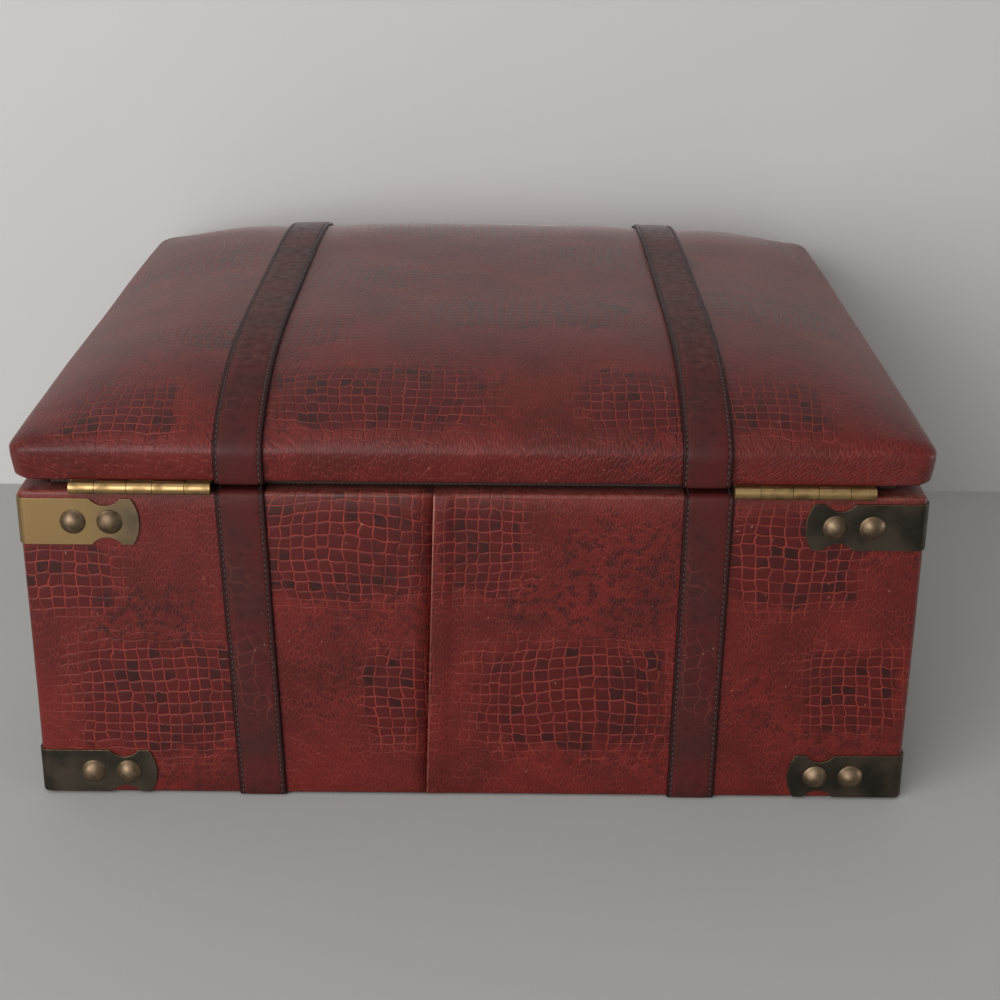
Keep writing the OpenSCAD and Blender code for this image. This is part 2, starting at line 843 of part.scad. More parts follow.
// Padded covering of the lid, turned in under the board
module lid_cover() {
    color("firebrick")
        difference() {
            ring_body(concat(
                [for (row = reversed(concat(hem_rows, side_rows, roll_rows, top_rows))) lid_ring(row, 0)],
                [
                    lid_ring([turned_in, lid_z0, 0, 1, 0], 0),
                    lid_ring([turned_in, board_z0, 0, 1, 0], 0),
                    lid_ring([edge_in, board_z0, 1, 0, 0], cover_t)
                ],
                [for (row = concat(side_rows, roll_rows, top_rows)) lid_ring(row, cover_t)]
            ));
            for (x = [-hinge_x, hinge_x]) {
                at_screws(x)
                    mirror([0, 0, 1])
                        screw_hole();
            }
        }
}

// Cross-section of a lid strap at a row of the section, behind or before the middle
function strap_ring(x, row, side, t) =
    let (y = side * (lid_hy - row[0]))
    [
        for (k = [[1, 0], [-1, 0], [-1, t], [1, t]])
            let (px = x + k[0] * strap_hw, out = soft_gap + k[1])
                [px, y + side * out * row[2], row[1] + out * row[3] + row[4] * crown(px, y)]
    ];

// Strap over the lid, from its end under the back edge to the top of its tongue
module lid_strap(x) {
    over_rows = concat(roll_rows, top_rows);
    color("maroon")
        ring_body(concat(
            [strap_ring(x, [edge_in + rim_lap, lid_z0, 0, -1, 0], 1, skive_t)],
            [strap_ring(x, hem_rows[0], 1, skive_t)],
            [for (row = concat([hem_rows[1]], side_rows, over_rows)) strap_ring(x, row, 1, strap_t)],
            [for (row = reversed(over_rows)) strap_ring(x, row, -1, strap_t)],
            [strap_ring(x, [0, widest_z + soft_gap, 1, 0, 0], -1, strap_t)]
        ));
}

module lid_strap_left() { lid_strap(-strap_x); }
module lid_strap_right() { lid_strap(strap_x); }

// Tongue: from the lid's widest line, under the outer bar, over the heel bar and down
tongue_path = concat(
    [[tongue_top_n, widest_z]],
    ease_path(tongue_top_n, bar_top_z - bar_pitch / 5, tongue_over_n, heel_z + bar_pitch / 5),
    ease_path(tongue_over_n, heel_z - bar_d / 2, tongue_low_n, heel_z - keeper_drop + flat_above),
    [[tongue_low_n, tip_z]]
);

// Hole that the prong comes through, between the two bars
prong_slot_z0 = heel_z + bar_pitch * 0.16;
prong_slot_z1 = bar_top_z - bar_pitch * 0.4;
prong_slot_r = prong_d / 2 + slot_play;

module tongue(x) {
    color("maroon")
        at_front(x)
            difference() {
                along_x(strap_w)
                    polygon(strip(tongue_path, same(tongue_path, -strap_t / 2), same(tongue_path, strap_t / 2)));
                for (side = [-1, 1]) {
                    translate([side * strap_hw, 0, tip_z])
                        rotate([0, side * atan(strap_hw / point_len), 0])
                            translate([side * strap_hw - strap_hw, 0, -2 * point_len])
                                cube([2 * strap_hw, 2 * tongue_low_n, 2 * point_len]);
                }
                for (z = [prong_slot_z0 + prong_slot_r, prong_slot_z1 - prong_slot_r]) {
                    translate([0, 0, z])
                        rotate([-90, 0, 0])
                            cylinder(h = 3 * tongue_low_n, r = prong_slot_r);
                }
                translate([-prong_slot_r, 0, prong_slot_z0 + prong_slot_r])
                    cube([2 * prong_slot_r, 3 * tongue_low_n, prong_slot_z1 - prong_slot_z0 - 2 * prong_slot_r]);
            }
}

module tongue_left() { tongue(-strap_x); }
module tongue_right() { tongue(strap_x); }

// Tab: a folded strip whose loop holds the heel bar and whose back layer holds the magnet
loop_mid_r = bar_d / 2 + fit + tab_t / 2;
tab_path = concat(
    [[heel_n - loop_mid_r, tab_z0]],
    arc([heel_n, heel_z], loop_mid_r, 180, 0, 2 * arc_n),
    ease_path(heel_n + loop_mid_r, heel_z - bar_d / 4, tab_front_n, heel_z - keeper_drop + 2 * flat_above),
    [[tab_front_n, tab_z0]]
);

module buckle_tab(x) {
    color("maroon")
        at_front(x)
            difference() {
                along_x(strap_w)
                    polygon(strip(tab_path, same(tab_path, -tab_t / 2), same(tab_path, tab_t / 2)));
                translate([-prong_eye_w / 2 - fit - eye_play, 0, heel_z - loop_r - cut_past])
                    cube([prong_eye_w + 2 * (fit + eye_play), 2 * heel_n, 3 * loop_r]);
                translate([0, tab_n - cut_past, magnet_z])
                    rotate([-90, 0, 0])
                        cylinder(h = tab_t + cut_past + fit / 2, d = magnet_d + 2 * fit);
            }
}

module buckle_tab_left() { buckle_tab(-strap_x); }
module buckle_tab_right() { buckle_tab(strap_x); }

module magnet(x) {
    color("silver")
        at_front(x)
            translate([0, tab_n, magnet_z])
                rotate([-90, 0, 0])
                    cylinder(h = tab_t, d = magnet_d);
}

module magnet_left() { magnet(-strap_x); }
module magnet_right() { magnet(strap_x); }

// Buckle frame of round wire, in the plane through its heel bar and its outer bar
frame_hw = strap_hw + frame_play + bar_d / 2;
frame_rise = norm([bar_pitch, bar_top_n - heel_n]);
frame_tilt = atan((bar_top_n - heel_n) / bar_pitch);

module buckle_frame(x) {
    color("darkkhaki")
        at_front(x)
            translate([0, heel_n, heel_z])
                rotate([-frame_tilt, 0, 0]) {
                    for (z = [0, frame_rise]) {
                        translate([-frame_hw + frame_r, 0, z])
                            rotate([0, 90, 0])
                                cylinder(h = 2 * (frame_hw - frame_r), d = bar_d);
                    }
                    for (side = [-1, 1]) {
                        translate([side * frame_hw, 0, frame_r])
                            cylinder(h = frame_rise - 2 * frame_r, d = bar_d);
                    }
                    for (mx = [0, 1], mz = [0, 1]) {
                        mirror([mx, 0, 0])
                            translate([0, 0, frame_rise / 2])
                                mirror([0, 0, mz])
                                    translate([frame_hw - frame_r, 0, frame_rise / 2 - frame_r])
                                        rotate([90, 0, 0])
                                            rotate_extrude(angle = 90)
                                                translate([frame_r, 0])
                                                    circle(d = bar_d);
                    }
                }
}

module buckle_frame_left() { buckle_frame(-strap_x); }
module buckle_frame_right() { buckle_frame(strap_x); }

// Prong: an eye round the heel bar and a rod whose tip lies on the outer bar
eye_r = loop_r - fit - eye_below;
prong_n0 = heel_n + bar_d / 2;
prong_z0 = heel_z + bar_d / 2;
prong_n1 = bar_top_n + bar_d / 2 + prong_d / 2 + fit;
prong_tilt = atan((prong_n1 - prong_n0) / (bar_top_z - prong_z0));
prong_len = norm([prong_n1 - prong_n0, bar_top_z - prong_z0]) + bar_d / 2;

module buckle_prong(x) {
    color("darkkhaki")
        at_front(x)
            difference() {
                union() {
                    translate([-prong_eye_w / 2, heel_n, heel_z])
                        rotate([0, 90, 0])
                            cylinder(h = prong_eye_w, r = eye_r);
                    translate([0, prong_n0, prong_z0])
                        rotate([-prong_tilt, 0, 0]) {
                            cylinder(h = prong_len, d = prong_d);
                            translate([0, 0, prong_len])
                                sphere(d = prong_d);
                        }
                }
                translate([-prong_eye_w, heel_n, heel_z])
                    rotate([0, 90, 0])
                        cylinder(h = 2 * prong_eye_w, d = bar_d + 2 * fit);
            }
}

module buckle_prong_left() { buckle_prong(-strap_x); }
module buckle_prong_right() { buckle_prong(strap_x); }

// Keeper: a band over the tongue, sewn to the edges of the tab
module strap_keeper(x) {
    inner_hw = strap_hw + fit;
    inner_n = tongue_low_n + strap_t / 2 + fit;
    color("maroon")
        at_front(x)
            translate([0, 0, heel_z - keeper_drop - keeper_w])
                linear_extrude(keeper_w)
                    difference() {
                        translate([0, (tab_n + inner_n + keeper_t) / 2])
                            square([2 * (inner_hw + keeper_t), inner_n + keeper_t - tab_n], center = true);
                        translate([0, inner_n / 2])
                            square([2 * inner_hw, inner_n], center = true);
                    }
}

module strap_keeper_left() { strap_keeper(-strap_x); }
module strap_keeper_right() { strap_keeper(strap_x); }

front_panel();
back_panel();
left_panel();
right_panel();
floor_panel();
base_cover();
base_felt();
lining_front();
lining_back();
lining_left();
lining_right();
floor_pad();
back_strap_left();
back_strap_right();
front_strap_left();
front_strap_right();
bracket_back_left_top();
bracket_back_right_top();
bracket_back_left_bottom();
bracket_back_right_bottom();
bracket_front_left_top();
bracket_front_right_top();
bracket_front_left_bottom();
bracket_front_right_bottom();
corner_nails();
hinge_base_leaf_left();
hinge_base_leaf_right();
hinge_pin_left();
hinge_pin_right();
hinge_base_screws();
strike_plate_left();
strike_plate_right();
lid_board();
lid_foam();
lid_cover();
lid_lining();
lid_strap_left();
lid_strap_right();
hinge_lid_leaf_left();
hinge_lid_leaf_right();
hinge_lid_screws();
tongue_left();
tongue_right();
buckle_tab_left();
buckle_tab_right();
buckle_frame_left();
buckle_frame_right();
buckle_prong_left();
buckle_prong_right();
strap_keeper_left();
strap_keeper_right();
magnet_left();
magnet_right();
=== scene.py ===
"""Looks of a stationery box: embossed leathercloth, stitched straps and aged brass round the CAD frame."""

import json
import logging
import math
from collections.abc import Callable, Sequence
from dataclasses import dataclass
from enum import Enum
from functools import partial
from itertools import accumulate, product
from typing import Any

import bmesh
import bpy
from mathutils import Matrix, Vector, noise

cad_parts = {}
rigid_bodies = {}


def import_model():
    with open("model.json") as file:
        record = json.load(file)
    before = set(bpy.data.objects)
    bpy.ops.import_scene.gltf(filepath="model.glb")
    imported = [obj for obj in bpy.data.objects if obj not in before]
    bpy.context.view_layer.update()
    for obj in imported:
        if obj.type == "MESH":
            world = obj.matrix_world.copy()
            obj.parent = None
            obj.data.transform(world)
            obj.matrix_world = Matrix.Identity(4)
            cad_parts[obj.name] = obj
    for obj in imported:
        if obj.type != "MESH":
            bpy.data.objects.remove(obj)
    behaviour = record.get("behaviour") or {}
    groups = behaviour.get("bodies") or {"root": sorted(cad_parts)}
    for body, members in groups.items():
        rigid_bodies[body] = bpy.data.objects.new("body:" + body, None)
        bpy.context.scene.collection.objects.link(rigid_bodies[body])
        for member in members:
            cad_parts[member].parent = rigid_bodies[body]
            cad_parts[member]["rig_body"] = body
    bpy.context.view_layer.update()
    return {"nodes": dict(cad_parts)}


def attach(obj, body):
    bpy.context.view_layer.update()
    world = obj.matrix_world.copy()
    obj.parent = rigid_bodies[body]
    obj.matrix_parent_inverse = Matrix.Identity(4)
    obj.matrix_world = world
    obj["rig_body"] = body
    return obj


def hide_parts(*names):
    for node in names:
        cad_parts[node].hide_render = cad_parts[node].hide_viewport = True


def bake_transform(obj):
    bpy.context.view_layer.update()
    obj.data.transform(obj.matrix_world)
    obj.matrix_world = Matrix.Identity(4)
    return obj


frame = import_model()

MM = 0.001
log = logging.getLogger("stationery_box")

Mesh = bmesh.types.BMesh
Row = tuple[float, float, float]
Place = Callable[[float], Vector]
Add = Callable[..., Any]

# Angles from one end of a quarter bend to the other
BEND = [math.radians(angle) for angle in (0, 22, 45, 67, 90)]


def linear(colour: str) -> tuple[float, float, float, float]:
    """Turns an sRGB hex colour into linear values for a socket.

    Args:
        colour: six hex digits after a #.

    Returns:
        Red, green and blue in linear light, and an alpha of 1.
    """
    parts = [int(colour[i : i + 2], 16) / 255 for i in (1, 3, 5)]
    red, green, blue = (c / 12.92 if c <= 0.04045 else ((c + 0.055) / 1.055) ** 2.4 for c in parts)
    return red, green, blue, 1.0


def ease(share: float) -> float:
    """Smooth step from 0 to 1, flat outside."""
    share = min(max(share, 0.0), 1.0)
    return share * share * (3 - 2 * share)


def lengths_along(points: Sequence[Sequence[float]]) -> list[float]:
    """Length along a line of points, from the first point to each of them."""
    return list(accumulate((math.dist(a, b) for a, b in zip(points, points[1:])), initial=0.0))


# Shader nodes


class Node(Enum):
    """Kinds of shader node: type, inputs in the order of a call, the output that is read, settings."""

    FLAT = "TexCoord", (), "UV", {}
    PLACE = "TexCoord", (), "Object", {}
    # Wear, and on the base's lap edge also a painted highlight
    WEAR = "Attribute", (), "Fac", {"attribute_name": "wear"}
    # Edge paint, and painted shade in the straps' stitch grooves and along their sides
    EDGE = "Attribute", (), "Fac", {"attribute_name": "edge"}
    BACK = "NewGeometry", (), "Backfacing", {}
    SHADOW = "LightPath", (), "Is Shadow Ray", {}
    NOISE = "TexNoise", ("Vector", "Scale", "Detail"), "Fac", {}
    DRIFT = "TexNoise", ("Vector", "Scale", "Detail"), "Color", {}
    CREASES = (
        "TexVoronoi",
        ("Vector", "Scale", "Randomness"),
        "Distance",
        {"voronoi_dimensions": "2D", "feature": "DISTANCE_TO_EDGE"},
    )
    LOTS = (
        "TexVoronoi",
        ("Vector", "Scale", "Randomness"),
        "Color",
        {"voronoi_dimensions": "2D", "feature": "F1"},
    )
    # Smooth change from To Min to To Max, which may run downwards
    RAMP = (
        "MapRange",
        ("Value", "From Min", "From Max", "To Min", "To Max"),
        0,
        {"interpolation_type": "SMOOTHSTEP"},
    )
    TINT = "Mix", (0, 6, 7), 2, {"data_type": "RGBA"}
    MIX = "Mix", (0, 2, 3), 0, {"data_type": "FLOAT"}
    MIX_SPOT = "Mix", (0, 4, 5), 1, {"data_type": "VECTOR"}
    RED = "SeparateColor", (0,), 0, {}
    ACROSS = "SeparateXYZ", (0,), 0, {}
    ALONG = "SeparateXYZ", (0,), 1, {}
    SPOT = "CombineXYZ", (0, 1), 0, {}
    TIMES = "Math", (0, 1), 0, {"operation": "MULTIPLY"}
    PLUS = "Math", (0, 1), 0, {"operation": "ADD"}
    TIMES_PLUS = "Math", (0, 1, 2), 0, {"operation": "MULTIPLY_ADD"}
    MORE = "Math", (0, 1), 0, {"operation": "MAXIMUM"}
    LESS = "Math", (0, 1), 0, {"operation": "MINIMUM"}
    BELOW = "Math", (0, 1), 0, {"operation": "LESS_THAN"}
    WRAP = "Math", (0, 1, 2), 0, {"operation": "WRAP"}
    ROOT = "Math", (0,), 0, {"operation": "SQRT"}
    SINE = "Math", (0,), 0, {"operation": "SINE"}
    SIZE = "Math", (0,), 0, {"operation": "ABSOLUTE"}
    SCALED = "VectorMath", (0, "Scale"), 0, {"operation": "SCALE"}
    MOVED = "VectorMath", (0, 1), 0, {"operation": "ADD"}
    FROM = "VectorMath", (0, 1), 0, {"operation": "SUBTRACT"}
    STRETCHED = "VectorMath", (0, 1), 0, {"operation": "MULTIPLY"}
    STRETCHED_MOVED = "VectorMath", (0, 1, 2), 0, {"operation": "MULTIPLY_ADD"}
    LENGTH = "VectorMath", (0,), "Value", {"operation": "LENGTH"}
    BUMP = "Bump", ("Strength", "Distance", "Height"), 0, {}
    SURFACE = "BsdfPrincipled", (), 0, {}
    CLEAR = "BsdfTransparent", (), 0, {}
    MIX_SHADER = "MixShader", (0, 1, 2), 0, {}
    SKY = "Background", ("Color", "Strength"), 0, {}
    OUTPUT = "OutputMaterial", ("Surface",), None, {}
    WORLD_OUTPUT = "OutputWorld", ("Surface",), None, {}


def add_node(tree: bpy.types.NodeTree, node: Node, *values: Any, **named: Any) -> Any:
    """Adds one shader node with its settings, values and links.

    Args:
        tree: the node tree that takes it.
        node: the kind of node.
        values: for each input in the kind's order, a value, a hex colour or the socket that feeds it.
        named: the same for further inputs by name.

    Returns:
        The socket that is read, or None.
    """
    kind, inputs, output, settings = node.value
    made = tree.nodes.new("ShaderNode" + kind)
    for name, setting in settings.items():
        setattr(made, name, setting)
    for name, value in [*zip(inputs, values), *named.items()]:
        if isinstance(value, bpy.types.NodeSocket):
            tree.links.new(value, made.inputs[name])
        else:
            made.inputs[name].default_value = linear(value) if isinstance(value, str) else value
    return None if output is None else made.outputs[output]


# Finishes


class Finish:
    """A real material. Each kind says what it gives the shader."""

    name: str

    def paint(self, add: Add) -> dict[str, Any]:
        """Builds the pattern's nodes with add and returns the shader's inputs."""
        raise NotImplementedError

    def shader(self, add: Add) -> Any:
        """The surface shader's socket."""
        return add(Node.SURFACE, **self.paint(add))

    def material(self) -> bpy.types.Material:
        """The finish as a Blender material, made once."""
        made = bpy.data.materials.get(self.name)
        if not made:
            made = bpy.data.materials.new(self.name)
            made.use_nodes = True
            made.node_tree.nodes.clear()
            add = partial(add_node, made.node_tree)
            add(Node.OUTPUT, self.shader(add))
        return made


@dataclass(frozen=True)
class Patch:
    """A patch of large scales on the embossing roller, in millimetres."""

    across: float
    up: float
    half_width: float
    half_height: float


@dataclass(frozen=True)
class CrocCloth(Finish):
    """Leathercloth pressed by a crocodile-grain roller.

    Large square scales lie in patches, with fine creases between them. The colour was wiped off the ridges
    and stayed dark on the scales, so the eye sees pale red lines round dark cells. A satin top coat mirrors
    the room softly at low angles.
    """

    name: str
    patches: tuple[Patch, ...]
    stains: tuple[Patch, ...] = ()
    repeat: float = 424.0
    scale_mm: tuple[float, float] = (4.9, 4.5)
    crease_mm: tuple[float, float] = (1.282, 3.333)
    depth_mm: float = 0.2
    sway_mm: float = 71.4
    waver_mm: float = 5.0
    cloud_mm: float = 33.3
    mottle_mm: float = 2.5
    fade_mm: float = 9.09
    lot_mm: float = 28.6
    blotch_mm: float = 4.167
    region_mm: float = 66.7
    rub_mm: float = 2.5
    patchy_mm: float = 3.333
    ragged_mm: float = 11.1
    plain: str = "#5c1612"
    plain_dark: str = "#49110e"
    groove: str = "#7e2c24"
    cell: str = "#4b0f0d"
    cell_dark: str = "#2b0b09"
    # Pale rubs and wear, and the painted highlight on the base's lap edge
    worn: str = "#a36a5e"

    def paint(self, add: Add) -> dict[str, Any]:
        """Scales, creases, blotches, wear, and the painted highlight on the base's lap edge.

        Args:
            add: adds a node to the material.

        Returns:
            The shader's inputs.
        """
        flat = add(Node.SCALED, add(Node.FLAT), 1 / MM)
        # The roller's slow sway, then the waver of each scale's edge
        sway = add(Node.DRIFT, flat, 1 / self.sway_mm, 1.0)
        sway = add(Node.STRETCHED_MOVED, sway, (16.0, 16.0, 0.0), (-8.0, -8.0, 0.0))
        waver = add(Node.DRIFT, flat, 1 / self.waver_mm, 2.0)
        waver = add(Node.STRETCHED_MOVED, waver, (1.7, 1.7, 0.0), (-0.85, -0.85, 0.0))
        drift = add(Node.MOVED, sway, waver)
        bent = add(Node.MOVED, flat, drift)
        nearest, local = self.nearest_patch(add, flat, self.patches)
        core = add(Node.RAMP, nearest, 1.02, 0.86)
        rim = add(Node.RAMP, nearest, 1.32, 1.04)

        # Scales are largest in a patch's middle and crowd together towards its edge
        crowding = add(Node.TIMES_PLUS, add(Node.TIMES, nearest, nearest), 0.13, 0.97)
        squared = add(Node.MOVED, add(Node.SCALED, local, crowding), drift)
        squared = add(Node.STRETCHED, squared, (1 / self.scale_mm[0], 1 / self.scale_mm[1], 0.0))
        big = add(Node.CREASES, squared, 1.0, 0.2)
        lot = add(Node.RED, add(Node.LOTS, squared, 1.0, 0.2))
        pulled = add(Node.STRETCHED, bent, (1 / self.crease_mm[0], 1 / self.crease_mm[1], 1.0))
        creases = add(Node.CREASES, pulled, 1.0, 1.0)

        # Relief: flat-topped scales with rounded edges among creases
        relief = add(
            Node.MIX, rim, add(Node.RAMP, creases, 0.0, 0.26, 0.45, 0.85), add(Node.RAMP, big, 0.0, 0.15)
        )

        # Colour of the ground, then of the lines, then of the scales
        broad = add(Node.NOISE, flat, 1 / self.cloud_mm, 3.0)
        mottle = add(Node.NOISE, bent, 1 / self.mottle_mm, 3.0)
        ground = add(Node.TINT, add(Node.RAMP, broad, 0.35, 0.65), self.plain_dark, self.plain)
        ground = add(Node.TINT, add(Node.RAMP, mottle, 0.5, 0.7, 0.0, 0.4), ground, self.plain_dark)
        faint = add(Node.RAMP, add(Node.NOISE, flat, 1 / self.fade_mm, 1.0), 0.35, 0.65, 0.25, 1.0)
        fine_line = add(Node.TIMES, add(Node.RAMP, creases, 0.13, 0.03, 0.0, 0.46), faint)
        ground = add(Node.TINT, fine_line, ground, self.groove)
        rim_line = add(Node.TIMES, add(Node.RAMP, big, 0.11, 0.04, 0.0, 0.6), faint)
        ground = add(Node.TINT, rim, ground, add(Node.TINT, rim_line, ground, self.groove))
        crowd = add(Node.RAMP, add(Node.NOISE, flat, 1 / self.lot_mm, 2.0), 0.4, 0.58, 0.15, 1.0)
        deep = add(Node.TIMES, add(Node.RAMP, lot, 0.3, 0.9), crowd)
        scales = add(Node.TINT, deep, self.cell, self.cell_dark)
        scales = add(Node.TINT, add(Node.RAMP, mottle, 0.45, 0.7, 0.0, 0.4), scales, self.plain_dark)
        less_faint = add(Node.RAMP, faint, 0.25, 0.8, 0.6, 1.0)
        big_line = add(Node.TIMES, add(Node.RAMP, big, 0.075, 0.02), less_faint)
        scales = add(Node.TINT, big_line, scales, self.groove)
        colour = add(Node.TINT, core, ground, scales)

        # Dark blotches where the wiping missed, and small pale rubs
        region = add(Node.RAMP, add(Node.NOISE, flat, 1 / self.region_mm, 1.0), 0.5, 0.62, 0.0, 0.5)
        if self.stains:
            stained = add(Node.RAMP, self.nearest_patch(add, flat, self.stains)[0], 1.3, 0.7, 0.0, 0.75)
            region = add(Node.MORE, region, stained)
        blotches = add(Node.RAMP, add(Node.NOISE, bent, 1 / self.blotch_mm, 2.5), 0.46, 0.6)
        blotches = add(Node.TIMES, blotches, region)
        stain = add(Node.TIMES, blotches, add(Node.RAMP, creases, 0.02, 0.16, 0.35, 1.0))
        colour = add(Node.TINT, stain, colour, self.cell_dark)
        rub = add(Node.RAMP, add(Node.NOISE, flat, 1 / self.rub_mm, 1.0), 0.75, 0.81, 0.0, 0.4)
        colour = add(Node.TINT, rub, colour, self.worn)
        patchy = add(Node.RAMP, add(Node.NOISE, flat, 1 / self.patchy_mm, 2.0), 0.3, 0.6, 0.35, 1.0)
        # The wear layer pales the rim and the lap's edge; along the lap's edge part of it is a painted
        # highlight of the lit ridge
        colour = add(Node.TINT, add(Node.TIMES, add(Node.WEAR), patchy), colour, self.worn)
        return {
            "Base Color": colour,
            "Roughness": add(Node.RAMP, relief, 0.2, 0.9, 0.55, 0.42),
            "Normal": add(Node.BUMP, 1.0, self.depth_mm * MM, relief),
            "IOR": 1.42,
            "Specular IOR Level": 0.2,
            "Coat Weight": 0.45,
            "Coat Roughness": 0.4,
            "Coat IOR": 1.38,
        }

    def nearest_patch(self, add: Add, flat: Any, patches: Sequence[Patch]) -> tuple[Any, Any]:
        """How far the nearest patch is, and the place measured from its middle.

        Args:
            add: adds a node to the material.
            flat: place on the sheet in millimetres.
            patches: the patches.

        Returns:
            The distance, where 1 is a patch's outline made ragged, and the place in millimetres.
        """
        wrapped = add(Node.WRAP, add(Node.ACROSS, flat), self.repeat / 2, -self.repeat / 2)
        place = add(Node.SPOT, wrapped, add(Node.ALONG, flat))
        nearest: Any = 9.0
        local: Any = (0.0, 0.0, 0.0)
        for patch in patches:
            offset = add(Node.FROM, place, (patch.across, patch.up, 0.0))
            within = add(Node.STRETCHED, offset, (1 / patch.half_width, 1 / patch.half_height, 0.0))
            away = add(Node.LENGTH, add(Node.STRETCHED, within, within))
            local = add(Node.MIX_SPOT, add(Node.BELOW, away, nearest), local, offset)
            nearest = add(Node.LESS, nearest, away)
        ragged = add(Node.TIMES_PLUS, add(Node.NOISE, flat, 1 / self.ragged_mm, 3.0), 0.9, -0.45)
        return add(Node.PLUS, add(Node.ROOT, nearest), ragged), local


@dataclass(frozen=True)
class StrapLeather(Finish):
    """Split leather, dyed maroon and burnished: fine pores, cloudy dye, a faint press of the grain beneath.

    The edges are painted nearly black, and the same dark is laid as painted shade in the stitch grooves and
    along the raised strip outside them; the face has a low satin shine.
    """

    name: str = "split_leather_burnished"
    dye: str = "#481a19"
    cloud: str = "#3c1d1a"
    deep: str = "#2a0f0e"
    # Edge paint, also laid as painted shade in the stitch grooves and along the strap's sides
    edge: str = "#1a0707"
    line: str = "#66302b"
    worn: str = "#a98b80"
    pore_mm: float = 0.769
    sway_mm: float = 11.1
    ghost_mm: float = 5.88
    spot_mm: float = 4.0
    cloud_mm: float = 28.6
    region_mm: float = 50.0
    rub_mm: float = 2.222

    def paint(self, add: Add) -> dict[str, Any]:
        """Pores, clouds, creases across the strap, painted edges, and painted shade in the stitch grooves and
        along the sides.
        """
        flat = add(Node.SCALED, add(Node.FLAT), 1 / MM)
        sway = add(Node.STRETCHED, add(Node.DRIFT, flat, 1 / self.sway_mm, 2.0), (9.0, 9.0, 0.0))
        ghost = add(Node.CREASES, add(Node.MOVED, flat, sway), 1 / self.ghost_mm, 0.5)
        spots = add(Node.NOISE, flat, 1 / self.spot_mm, 4.0)
        cloudy = add(Node.RAMP, add(Node.NOISE, flat, 1 / self.cloud_mm, 4.0), 0.38, 0.62)
        colour = add(Node.TINT, cloudy, self.dye, self.cloud)
        colour = add(Node.TINT, add(Node.RAMP, spots, 0.5, 0.7, 0.0, 0.4), colour, self.deep)
        part = add(Node.RAMP, add(Node.NOISE, flat, 1 / self.region_mm, 1.0), 0.45, 0.6, 0.0, 0.55)
        line = add(Node.TIMES, add(Node.RAMP, ghost, 0.06, 0.02), part)
        colour = add(Node.TINT, line, colour, self.line)
        # Edge paint, with painted shade in the stitch grooves and along the strap's sides
        colour = add(Node.TINT, add(Node.EDGE), colour, self.edge)
        rub = add(Node.RAMP, add(Node.NOISE, flat, 1 / self.rub_mm, 1.0), 0.75, 0.8, 0.0, 0.35)
        colour = add(Node.TINT, rub, colour, self.worn)
        pores = add(Node.RAMP, add(Node.CREASES, flat, 1 / self.pore_mm, 1.0), 0.0, 0.25)
        return {
            "Base Color": colour,
            "Roughness": add(Node.RAMP, spots, 0.3, 0.7, 0.42, 0.55),
            "Normal": add(Node.BUMP, 0.6, 0.05 * MM, add(Node.MIX, 0.25, pores, spots)),
            "IOR": 1.4,
            "Specular IOR Level": 0.22,
        }


@dataclass(frozen=True)
class WaxedThread(Finish):
    """Waxed linen thread, dyed nearly black, with a soft shine on each stitch."""

    name: str = "waxed_linen_thread"
    colour: str = "#1c0e0d"
    shine: str = "#3a201d"
    twist_mm: float = 0.5

    def paint(self, add: Add) -> dict[str, Any]:
        """The twist, drawn as wide as it needs to show."""
        fuzz = add(Node.NOISE, add(Node.PLACE), 1 / (self.twist_mm * MM), 2.0)
        return {
            "Base Color": add(Node.TINT, add(Node.RAMP, fuzz, 0.3, 0.7), self.colour, self.shine),
            "Roughness": 0.5,
            "Normal": add(Node.BUMP, 0.6, 0.05 * MM, fuzz),
            "Sheen Weight": 0.1,
        }


@dataclass(frozen=True)
class AgedBrass(Finish):
    """Stamped sheet brass, dipped dark and rubbed by use.

    The dip leaves an even brown-black skin, and handling bares golden metal on the edges and high places.
    """

    name: str
    bright: str = "#957b54"
    brown: str = "#50473d"
    dark: str = "#36322c"
    rubbed: float = 0.55
    cloud_mm: float = 14.0
    speck_mm: float = 1.4
    scratch_mm: float = 3.0
    # Where along X the skin begins to be gone, and where it is all gone
    bare_x: tuple[float, float] | None = None
    bare_ragged: float = 12 * MM

    def paint(self, add: Add) -> dict[str, Any]:
        """Cloudy skin over bare metal, scratches and rubbed edges."""
        place = add(Node.PLACE)
        cloud = add(Node.NOISE, place, 1 / (self.cloud_mm * MM), 3.0)
        speck = add(Node.NOISE, place, 1 / (self.speck_mm * MM), 3.0)
        bare = add(Node.TIMES, add(Node.WEAR), add(Node.RAMP, speck, 0.35, 0.65, 0.2, self.rubbed))
        if self.bare_x:
            across = add(Node.TIMES_PLUS, cloud, self.bare_ragged, add(Node.ACROSS, place))
            bare = add(Node.MORE, bare, add(Node.RAMP, across, *self.bare_x))
        skin = add(Node.TINT, add(Node.RAMP, cloud, 0.35, 0.65), self.dark, self.brown)
        skin = add(Node.TINT, add(Node.RAMP, speck, 0.5, 0.75, 0.0, 0.35), skin, self.brown)
        drawn = add(Node.STRETCHED, place, (1.0, 1.0, 7.0))
        scratch = add(Node.NOISE, drawn, 1 / (self.scratch_mm * MM), 3.0)
        return {
            "Base Color": add(Node.TINT, bare, skin, self.bright),
            "Metallic": 1.0,
            "Roughness": add(Node.RAMP, bare, 0.0, 1.0, 0.5, 0.4),
            "Normal": add(Node.BUMP, 0.5, 0.1 * MM, add(Node.MIX, 0.4, cloud, scratch)),
        }


